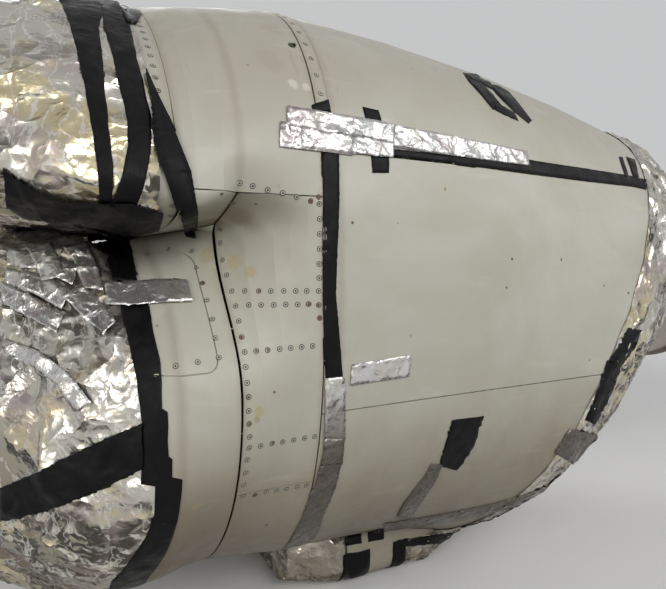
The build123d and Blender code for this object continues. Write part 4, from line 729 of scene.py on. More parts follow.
@dataclass
class FoilBag:
    """Film pulled over a mouth from the front or back, and gathered behind its rim."""

    name: str
    skin: Skin
    centre: Vector
    way: float
    first_angle: float
    last_angle: float
    edge: Callable[[float], float]
    columns: int
    rows: int
    crumple: Callable[[Vector], float]
    sink: float
    deepest: float = 130.0
    held_by: tuple["RingBand", ...] = ()
    swell: Callable[[Vector], float] = lambda place: 0.0

    def cast(self, angle: float, tilt: float) -> Spot | None:
        """The spot met from outside towards the bag's middle."""
        turn, lean = math.radians(angle), math.radians(tilt)
        out = Vector((
            self.way * math.cos(lean), -math.sin(lean) * math.cos(turn),
            math.sin(lean) * math.sin(turn),
        ))
        return self.skin.along(self.centre + out * CAST_REACH, -out, CAST_REACH)

    def whole(self) -> bool:
        """Whether the film goes all the way round."""
        return abs(self.last_angle - self.first_angle) >= 359.9

    def angles(self) -> list[float]:
        """Angles round the axis, evenly spaced along the rim."""
        steps = [
            self.first_angle + (self.last_angle - self.first_angle) * i / RIM_STEPS
            for i in range(RIM_STEPS + 1)
        ]
        points = []
        met = []
        for angle in steps:
            spot = self.cast(angle, RIM_TILT)
            if spot:
                points.append(spot[0])
                met.append(angle)
        runs = [0.0]
        for a, b in zip(points, points[1:]):
            runs.append(runs[-1] + (b - a).length)
        table = list(zip(runs, met))
        count = self.columns if self.whole() else self.columns - 1
        return [between(table, runs[-1] * i / count) for i in range(self.columns)]

    def profile(self, angle: float) -> list[Vector]:
        """Points of the skin from the bag's tip to its edge, at one angle round the axis."""
        points: list[Vector] = []
        tilt = 0.0
        while tilt < self.deepest:
            spot = self.cast(angle, max(0.05, tilt))
            tilt += TILT_STEP
            if spot is None:
                continue
            points.append(spot[0])
            if (spot[0].x - self.edge(angle)) * self.way < 0 and len(points) > 2:
                break
        return spread(points, self.rows)

    def build(self, material: bpy.types.Material) -> bpy.types.Object:
        """Lay the film on the bag's form, crumple it and close its tip.

        Args:
            material: the film's finish.

        Returns:
            The piece.
        """
        whole = self.whole()
        columns = [self.profile(angle) for angle in self.angles()]
        tip = sum((column[0] for column in columns), Vector()) / len(columns)
        corners = [tip]
        width = len(columns)
        for i in range(1, self.rows):
            for j, column in enumerate(columns):
                here = column[i]
                after = columns[(j + 1) % width if whole else min(j + 1, width - 1)][i]
                before = columns[(j - 1) % width if whole else max(j - 1, 0)][i]
                down = column[min(i + 1, self.rows - 1)] - column[i - 1]
                out = down.cross(after - before)
                if out.length < 1e-12:
                    out = here - self.centre
                out.normalize()
                if out.dot(here - self.centre) < 0:
                    out.negate()
                share = i / (self.rows - 1)
                slack = self.sink * (1.0 - share) ** 0.7 if share < 0.75 else 0.0
                free = 1.0 - 0.8 * max((band.holds(here) for band in self.held_by), default=0.0)
                height = (self.crumple(here) * (1.0 - 0.45 * share) - slack) * free
                height = (height + self.swell(here)) * min(1.0, (1.0 - share) / 0.05)
                corners.append(here + out * max(height, -self.sink) + out * FILM_LIFT)
        faces = grid_faces(self.rows - 1, width, 1, whole)
        last = width if whole else width - 1
        faces += [[0, 1 + (j + 1) % width, 1 + j] for j in range(last)]
        ring = [corners[k] for k in faces[len(faces) // 2][:3]]
        faces = turned_out(faces, ring, (ring[0] + ring[2]) / 2 - self.centre)
        return placed(self.name, corners, faces, material)


@dataclass(frozen=True)
class RingBand:
    """A tape or strap round an axis along X, between two edges given at some angles."""

    level: float
    fore: tuple[tuple[float, float], ...]
    aft: tuple[tuple[float, float], ...]
    tape: Tape = Tape.BLACK
    step: float = 0.6
    across: int = 9

    def holds(self, place: Vector) -> float:
        """How firmly the band presses on a place: 1 under it and 0 well away from it."""
        angle = math.degrees(math.atan2(place.z - self.level, -place.y))
        first, last = self.fore[0][0], self.fore[-1][0]
        if angle < first:
            angle += 360.0
        if angle > last:
            angle -= 360.0
        if not first <= angle <= last:
            return 0.0
        apart = max(between(self.fore, angle) - place.x, place.x - between(self.aft, angle), 0.0)
        return max(0.0, 1.0 - apart / PRESS_WIDTH)

    def strip(self, skin: Skin, seed: float) -> tuple[list[Vector], list[list[int]]]:
        """Lay the band on the skin.

        Args:
            skin: what carries it.
            seed: moves its wrinkles.

        Returns:
            Vertices and faces of a closed strip.
        """
        first, last = self.fore[0][0], self.fore[-1][0]
        count = max(3, int(abs(last - first) / self.step))
        rows = []
        for i in range(count + 1):
            angle = first + (last - first) * i / count
            torn = TORN_EDGE * noise.noise(Vector((angle * 0.35, seed, 0.0)))
            fore = between(self.fore, angle) + torn
            aft = between(self.aft, angle) + TORN_EDGE * noise.noise(Vector((angle * 0.3, seed, 7.0)))
            row = []
            for j in range(self.across):
                x = fore + (aft - fore) * j / (self.across - 1)
                spot = skin.round_axis(x, angle, self.level)
                if spot:
                    row.append(spot)
            if len(row) == self.across:
                rows.append(row)
        wrinkle = smooth_wrinkle(0.0022, 0.018, seed)
        return films(rows, BAND_LEAP, self.tape.value, BAND_THICKNESS, wrinkle)


@dataclass(frozen=True)
class PhotoStrip:
    """A piece of tape placed by its two long edges in the photograph."""

    name: str
    tape: Tape
    one_edge: tuple[Pixel, ...]
    other_edge: tuple[Pixel, ...]
    lift: float = 0.0
    ragged: float = 0.5

    def edge(self, points: Sequence[Pixel], count: int) -> list[Pixel]:
        """Evenly spaced pixels along an edge."""
        row = spread([Vector((u, v, 0.0)) for u, v in points], count)
        return [(point.x, point.y) for point in row]

    def strip(self, skin: Skin, view: PhotoView, seed: float, side: Side = Side.LEFT
              ) -> tuple[list[Vector], list[list[int]]]:
        """Lay the tape on the skin under its pixels, or under their mirror on the other side.

        Args:
            skin: what carries the tape.
            view: the photograph's camera.
            seed: moves its wrinkles and torn edges.
            side: where it goes.

        Returns:
            Vertices and faces of a closed strip.
        """
        length = max(
            sum(math.dist(a, b) for a, b in zip(edge, edge[1:]))
            for edge in (self.one_edge, self.other_edge)
        )
        count = max(4, int(length / STRIP_PITCH_PX[0]))
        width = math.dist(self.one_edge[0], self.other_edge[0])
        across = max(4, min(20, int(width / STRIP_PITCH_PX[1])))
        one, other = self.edge(self.one_edge, count), self.edge(self.other_edge, count)
        rows = []
        for i, (a, b) in enumerate(zip(one, other)):
            row = []
            for j in range(across):
                share = j / (across - 1)
                jag = self.ragged * noise.noise(Vector((i * 0.9, share * 2.0, seed * 5.0)))
                pixel = (a[0] + (b[0] - a[0]) * share + jag, a[1] + (b[1] - a[1]) * share + jag)
                spot = skin.under_pixel(view, pixel)
                row.append(mirrored(spot) if side is Side.RIGHT else spot)
            rows.append(row)
        depth, size = (0.0016, 0.02) if self.tape is Tape.BLACK else (0.0020, 0.012)
        wrinkle = smooth_wrinkle(depth, size, seed)
        return films(rows, STRIP_LEAP, self.tape.value + self.lift, STRIP_THICKNESS, wrinkle)


def gathered(name: str, strips: Iterable[tuple[list[Vector], list[list[int]]]],
             material: bpy.types.Material) -> bpy.types.Object:
    """Several strips as one piece."""
    corners: list[Vector] = []
    faces: list[list[int]] = []
    for points, strip_faces in strips:
        start = len(corners)
        corners += points
        faces += [[start + k for k in face] for face in strip_faces]
    return placed(name, corners, faces, material)


@dataclass
class Finishes:
    """Every finish of the engine, made once."""

    paint: bpy.types.Material
    foil: bpy.types.Material
    nose_foil: bpy.types.Material
    foil_tape: bpy.types.Material
    black_tape: bpy.types.Material
    frame_alloy: bpy.types.Material
    cast_alloy: bpy.types.Material
    steel: bpy.types.Material
    hot_alloy: bpy.types.Material
    head: bpy.types.Material
    recess: bpy.types.Material

    @classmethod
    def build(cls, skin: Skin, view: PhotoView) -> "Finishes":
        """Make the finishes, with the paint's stains and patches of painted shade where the photograph
        has them.

        Args:
            skin: the painted skin.
            view: the photograph's camera.

        Returns:
            The finishes.
        """
        yellow, brown, pale = (0.42, 0.33, 0.16), (0.26, 0.18, 0.09), (0.60, 0.58, 0.52)
        marks = (
            ((206, 256), 0.020, yellow, 0.55), ((232, 262), 0.022, yellow, 0.50),
            ((250, 272), 0.015, yellow, 0.60), ((259, 412), 0.012, yellow, 0.60),
            ((256, 420), 0.008, brown, 0.50), ((156.5, 326), 0.0035, brown, 0.9),
            ((195, 507), 0.009, yellow, 0.40), ((247, 65), 0.0035, brown, 0.8),
            ((292, 83), 0.012, pale, 0.6), ((306, 87), 0.010, pale, 0.6),
            # The black spot at (292.4, 45.3) is painted shade standing in for the hoist hole.
            ((444.5, 189), 0.004, brown, 0.9), ((292.4, 45.3), 0.0060, (0.01, 0.01, 0.01), 1.0),
            # The brown patches at (205, 222) and (236, 214) are painted shade in the valley under the
            # scoop.
            ((205, 222), 0.030, brown, 0.45), ((236, 214), 0.035, brown, 0.30),
            ((270, 28), 0.030, brown, 0.16), ((268, 60), 0.034, brown, 0.14),
        )
        stains_and_shade = tuple(
            StainAndShade(tuple(skin.under_pixel(view, pixel)[0]), radius, colour, strength)
            for pixel, radius, colour, strength in marks
        )
        return cls(
            paint=WornPaint("cowl_paint", stains_and_shade=stains_and_shade).material(),
            # Each foil carries painted reflections: light and dark bands, glints and a darker tone low
            # down; the nose and tape foils set their own.
            foil=CreasedFoil("wrap_foil").material(),
            nose_foil=CreasedFoil("nose_wrap_foil", gold=(0.66, 0.55, 0.32), low=(-0.42, -0.14),
                                  low_share=0.62).material(),
            foil_tape=CreasedFoil(
                "tape_foil", bright=(0.64, 0.64, 0.63), dark_reflection=(0.24, 0.24, 0.235),
                gold=(0.56, 0.53, 0.46), low_tone=(0.105, 0.090, 0.075), low_share=0.92,
                low=(-0.04, 0.14), fold_scale=16.0, depth=0.008, roughness=(0.24, 0.40), metal=0.80,
            ).material(),
            black_tape=ClothTape("black_cloth_tape").material(),
            frame_alloy=BareMetal(
                "frame_alloy", (0.42, 0.46, 0.34), (0.32, 0.34, 0.22), (0.42, 0.62), 60.0,
            ).material(),
            cast_alloy=BareMetal(
                "cast_alloy", (0.42, 0.42, 0.41), (0.30, 0.29, 0.27), (0.45, 0.68), 190.0,
            ).material(),
            steel=BareMetal(
                "machined_steel", (0.50, 0.49, 0.47), (0.36, 0.33, 0.29), (0.22, 0.42), 120.0,
                (0.1, 1.0, 1.0),
            ).material(),
            hot_alloy=BareMetal(
                "heat_tinted_alloy", (0.44, 0.40, 0.35), (0.26, 0.19, 0.15), (0.30, 0.52), 90.0,
                (0.2, 1.0, 1.0),
            ).material(),
            head=ScrewFinish("screw_heads", (0.40, 0.39, 0.34), (0.16, 0.095, 0.05), 0.40).material(),
            # Dark gaps round the screw heads, and painted shade in their slots.
            recess=ScrewFinish("screw_gaps_and_recess_shade", (0.022, 0.018, 0.014), (0.06, 0.03, 0.014), 0.4).material(),
        )


@dataclass
class Cowling:
    """The painted panels and their screws; the hoist hole is a black spot of painted shade in their
    paint.
    """

    skin: Skin
    view: PhotoView
    finishes: Finishes
    head_radius: float = 0.0042
    gap_radius: float = 0.0056
    slot_radius: float = 0.0020
    screw_rings: tuple[tuple[float, float, float, float, float], ...] = (
        (0.716, 0.29, 32.0, 148.0, 3.6), (0.401, 0.5, 14.0, 166.0, 3.6 * 0.9),
    )
    painted: tuple[str, ...] = (
        "scoop_cowl", "nose_cowl", "left_cheek_panel", "right_cheek_panel", "left_shoulder_panel",
        "right_shoulder_panel", "forward_upper_cowl", "left_mount_access_panel",
        "right_mount_access_panel", "forward_lower_cowl", "splice_band", "upper_cowl",
        "left_cowl_door", "right_cowl_door", "left_lower_door", "right_lower_door", "lower_cowl",
        "oil_cooler_fairing", "oil_cooler_flap", "inlet_duct",
    )
    screw_rows: tuple[tuple[Pixel, ...], ...] = (
        ((239, 183), (252, 186), (267, 190), (282, 193), (296, 197), (310, 201)),
        ((318, 197), (318.5, 204), (319, 219), (319, 234), (319, 249), (318.5, 264), (318.5, 278),
         (318, 291), (318, 305), (319, 318)),
        ((231, 291), (244, 291), (258, 291), (270, 291), (283, 291), (295, 291), (306, 291)),
        ((235, 306), (248, 305), (260.5, 305), (273, 305), (285, 304.5), (297, 304.5), (308, 304)),
        ((231.6, 203), (219.5, 229), (219.5, 243), (221.6, 260), (226, 275), (238, 321), (241, 337),
         (245, 367), (246.5, 383), (248, 397), (248, 411), (248.5, 424), (249, 437), (248.5, 448),
         (246.5, 460), (245, 473), (243, 485), (242.5, 496)),
        ((244, 352), (255.5, 351), (267, 350), (279, 349), (290, 348), (301, 347), (312, 346)),
        ((260, 446), (271.5, 443.5), (282, 442), (293, 440), (304, 438), (314, 436.6)),
        ((254, 495), (265.5, 492), (276, 490.5), (286, 489), (296.5, 487), (306, 485.5)),
        ((147, 253), (168, 249), (191, 251), (196, 267), (202, 283), (206, 300), (211.5, 319),
         (215, 338), (218, 357.5), (175, 366), (197, 362)),
        ((172, 206), (170, 216), (157, 224)),
    )

    def screw_spots(self) -> list[Spot]:
        """Spots of all the screws: those of the photograph on both sides, and the two rings."""
        spots: list[Spot] = []
        for row in self.screw_rows:
            for pixel in row:
                spot = self.skin.under_pixel(self.view, pixel)
                spots += [spot, mirrored(spot)]
        for x, level, angle, last, pitch in self.screw_rings:
            while angle <= last:
                ring = self.skin.round_axis(x, angle, level)
                if ring:
                    spots.append(ring)
                angle += pitch
        return spots

    def discs(self, name: str, spots: Sequence[Spot], radius: float, rise: float, sides: int,
              material: bpy.types.Material) -> bpy.types.Object:
        """Set a flat disc on every spot with Geometry Nodes, and make it a plain mesh.

        Args:
            name: the piece's name.
            spots: places and outward directions.
            radius: the discs' radius.
            rise: how far they stand out of the skin.
            sides: corners round each disc.
            material: their finish.

        Returns:
            The piece.
        """
        cloud = bpy.data.meshes.new(f"{name}_spots")
        cloud.from_pydata([tuple(spot) for spot, _ in spots], [], [])
        facing = cloud.attributes.new("facing", "FLOAT_VECTOR", "POINT")
        facing.data.foreach_set("vector", [value for _, out in spots for value in out])
        carrier = shown(f"{name}_carrier", cloud)
        tree, keys = self.disc_tree(name, material)
        modifier = carrier.modifiers.new("discs", "NODES")
        modifier.node_group = tree
        for label, value in (("Radius", radius), ("Rise", rise), ("Sides", sides), ("Seed", TURN_SEED)):
            modifier[keys[label]] = value
        graph = bpy.context.evaluated_depsgraph_get()
        mesh = bpy.data.meshes.new_from_object(carrier.evaluated_get(graph))
        bpy.data.objects.remove(carrier)
        bpy.data.node_groups.remove(tree)
        mesh.name = name
        piece = shown(name, mesh)
        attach(piece, BODY)
        log.info("%s: %d screws, %d faces", name, len(spots), len(mesh.polygons))
        return piece

    def disc_tree(self, name: str, material: bpy.types.Material
                  ) -> tuple[bpy.types.NodeTree, dict[str, str]]:
        """The node tree that puts a disc on each point, square to its facing.

        Args:
            name: the tree's name.
            material: the discs' finish.

        Returns:
            The tree, and the identifier of each named input.
        """
        tree = bpy.data.node_groups.new(f"{name}_tree", "GeometryNodeTree")
        face = tree.interface
        face.new_socket(name="Geometry", in_out="INPUT", socket_type="NodeSocketGeometry")
        keys = {
            label: face.new_socket(name=label, in_out="INPUT", socket_type=kind).identifier
            for label, kind in (
                ("Radius", "NodeSocketFloat"), ("Rise", "NodeSocketFloat"),
                ("Sides", "NodeSocketInt"), ("Seed", "NodeSocketInt"),
            )
        }
        face.new_socket(name="Geometry", in_out="OUTPUT", socket_type="NodeSocketGeometry")
        nodes = Nodes(tree)
        into = tree.nodes.new("NodeGroupInput").outputs
        twice = nodes.maths("MULTIPLY", into["Rise"], 2.0)
        disc = nodes.node("GeometryNodeMeshCylinder", "Mesh", {
            "Vertices": into["Sides"], "Radius": into["Radius"], "Depth": twice,
        })
        facing = nodes.node("GeometryNodeInputNamedAttribute", "Attribute", {"Name": "facing"},
                            data_type="FLOAT_VECTOR")
        align = nodes.node("FunctionNodeAlignRotationToVector", "Rotation", {"Vector": facing}, axis="Z")
        turn = nodes.node("FunctionNodeRandomValue", 1, {3: math.tau, "Seed": into["Seed"]})
        spin = nodes.node("FunctionNodeAxisAngleToRotation", "Rotation", {"Angle": turn})
        both = nodes.node("FunctionNodeRotateRotation", "Rotation",
                          {"Rotation": align, "Rotate By": spin}, rotation_space="LOCAL")
        put = nodes.node("GeometryNodeInstanceOnPoints", "Instances", {
            "Points": into["Geometry"], "Instance": disc, "Rotation": both,
        })
        real = nodes.node("GeometryNodeRealizeInstances", "Geometry", {"Geometry": put})
        painted = nodes.node("GeometryNodeSetMaterial", "Geometry",
                             {"Geometry": real, "Material": material})
        tree.links.new(painted, tree.nodes.new("NodeGroupOutput").inputs["Geometry"])
        return tree, keys

    def build(self) -> list[bpy.types.Object]:
        """Paint the panels and set their screws."""
        for node in self.painted:
            dress(node, self.finishes.paint)
        spots = self.screw_spots()
        pieces = [
            self.discs(name, spots, radius, rise, sides, material)
            for name, radius, rise, sides, material in (
                ("screw_gap_rings", self.gap_radius, 0.00035, 14, self.finishes.recess),
                ("screw_heads", self.head_radius, 0.0007, 12, self.finishes.head),
                # Dark discs on the heads: painted shade in the screws' drive recesses.
                ("screw_recesses", self.slot_radius, 0.0010, 8, self.finishes.recess),
            )
        ]
        return pieces


@dataclass
class FoilWraps:
    """The film over the scoop, the nose, the oil cooler's mouths and the engine's aft end."""

    finishes: Finishes
    straps: tuple["RingBand", ...]
    nose_ring: "RingBand"
    scoop_edge: float = 0.380
    neck_x: float = 2.352
    nose_edge: tuple[tuple[float, float], ...] = (
        (-232, 0.345), (-225, 0.352), (-200, 0.372), (-182, 0.385), (-160, 0.372), (-130, 0.352),
        (-90, 0.350), (-60, 0.345), (-45, 0.345), (-28, 0.340), (-19, 0.365), (-8, 0.392),
        (0.5, 0.370), (15, 0.372), (30, 0.362), (45, 0.362), (52, 0.345), (56, 0.300),
        (124, 0.300), (128, 0.345),
    )

    def scoop(self) -> bpy.types.Object:
        """Film over the intake's mouth, drawn back behind its lip."""
        bag = FoilBag(
            "scoop_foil_wrap", Skin("scoop_foil", "scoop_cowl", "forward_upper_cowl"),
            Vector((0.25, 0.0, SCOOP_LEVEL)), -1.0, -90.0, 270.0,
            lambda angle: self.scoop_edge + 0.004 * noise.noise(Vector((angle * 0.12, 0, 1))),
            440, 104, creases(0.085, 0.016, 1.0, Vector((0.55, 1.0, 1.0))), 0.012,
            held_by=self.straps,
        )
        piece = bag.build(self.finishes.foil)
        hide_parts("scoop_foil")
        return piece

    @staticmethod
    def gather(place: Vector) -> float:
        """How far the nose film bunches up in the gap below the scoop."""
        angle = math.degrees(math.atan2(place.z, abs(place.y)))
        rise = 1.0
        for share in (
            (angle - 28.0) / 26.0, (0.40 - place.x) / 0.05,
            (math.hypot(place.y, place.z) - 0.14) / 0.10,
        ):
            rise *= min(1.0, max(0.0, share))
        return GATHER_DEPTH * rise * rise * (3.0 - 2.0 * rise)

    def nose(self) -> bpy.types.Object:
        """Film over the nose bowl and the propeller shaft, drawn in to a cone."""
        bag = FoilBag(
            "nose_foil_wrap",
            Skin("nose_foil", "nose_cowl", "left_cheek_panel", "right_cheek_panel"),
            Vector((0.15, 0.0, 0.0)), -1.0, -232.0, 128.0,
            lambda angle: between(self.nose_edge, angle) + 0.004 * math.sin(angle * 0.9),
            420, 120, creases(0.095, 0.024, 2.0, Vector((0.7, 1.0, 1.0))), 0.018,
            held_by=(self.nose_ring,), swell=self.gather,
        )
        piece = bag.build(self.finishes.nose_foil)
        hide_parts("nose_foil")
        return piece

    def cooler(self) -> list[bpy.types.Object]:
        """Film over the oil cooler's inlet and exit."""
        skin = Skin("cooler_foil", "oil_cooler_fairing", "oil_cooler_flap", "lower_cowl", "aft_foil")
        inlet = FoilBag(
            "cooler_inlet_foil", skin, Vector((0.93, 0.0, -0.470)), -1.0, 10.0, -190.0,
            lambda angle: 0.965, 150, 44, creases(0.05, 0.010, 3.0), 0.006, 150.0,
        ).build(self.finishes.foil)
        outlet = FoilBag(
            "cooler_exit_foil", skin, Vector((1.31, 0.0, -0.525)), 1.0, 10.0, -190.0,
            lambda angle: 1.150, 170, 60, creases(0.055, 0.010, 4.0), 0.006, 150.0,
        ).build(self.finishes.foil)
        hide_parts("cooler_foil")
        return [inlet, outlet]

    def edge_x(self, z: float) -> float:
        """The canted aft edge's place at a height."""
        return CANT_START + CANT_SLOPE * (z - CANT_LEVEL)

    def aft(self) -> bpy.types.Object:
        """Film from the cowling's canted edge down to the hot section."""
        skin = Skin("aft_foil", "upper_cowl", "left_cowl_door", "right_cowl_door",
                    "left_lower_door", "right_lower_door", "lower_cowl")
        columns, rows = 360, 90
        crumple = creases(0.075, 0.014, 5.0)
        corners: list[Vector] = []
        table: list[list[Spot]] = []
        for j in range(columns):
            angle = 360.0 * j / columns
            start = 1.7
            for _ in range(6):
                spot = skin.round_axis(start - 0.016, angle, ROTOR_LEVEL)
                if spot:
                    start = self.edge_x(spot[0].z)
            lean = math.radians(angle)
            lap = -0.014 + 0.008 * noise.noise(9.0 * Vector((math.cos(lean), math.sin(lean), 0.0)))
            line: list[Spot] = []
            for i in range(rows):
                share = (i / (rows - 1)) ** 1.25
                x = start + lap + (self.neck_x - start - lap) * share
                spot = skin.round_axis(x, angle, ROTOR_LEVEL) or (line[-1] if line else None)
                if spot:
                    line.append(spot)
            line = [line[0]] * (rows - len(line)) + line
            table.append(line)
        for i in range(rows):
            for j in range(columns):
                spot, facing = table[j][i]
                corners.append(spot + facing * (0.0015 + crumple(spot) * min(1.0, 0.25 + i / 12)))
        faces = grid_faces(rows, columns, 0, True)
        faces = turned_out(faces, [corners[k] for k in faces[0][:3]], table[0][0][1])
        piece = placed("aft_foil_wrap", corners, faces, self.finishes.foil)
        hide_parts("aft_foil")
        return piece

    def exhaust(self) -> bpy.types.Object:
        """Film cap over the exhaust."""
        bag = FoilBag(
            "exhaust_foil_cap", Skin("aft_foil", "exhaust_case"), Vector((3.20, 0.0, ROTOR_LEVEL)), 1.0,
            -90.0, 270.0, lambda angle: 3.232, 220, 52, creases(0.06, 0.010, 6.0), 0.008,
        )
        piece = bag.build(self.finishes.foil)
        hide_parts("aft_foil")
        return piece

    def build(self) -> list[bpy.types.Object]:
        """Make all the wraps."""
        wraps = [self.scoop(), self.nose(), *self.cooler(), self.aft(), self.exhaust()]
        return wraps


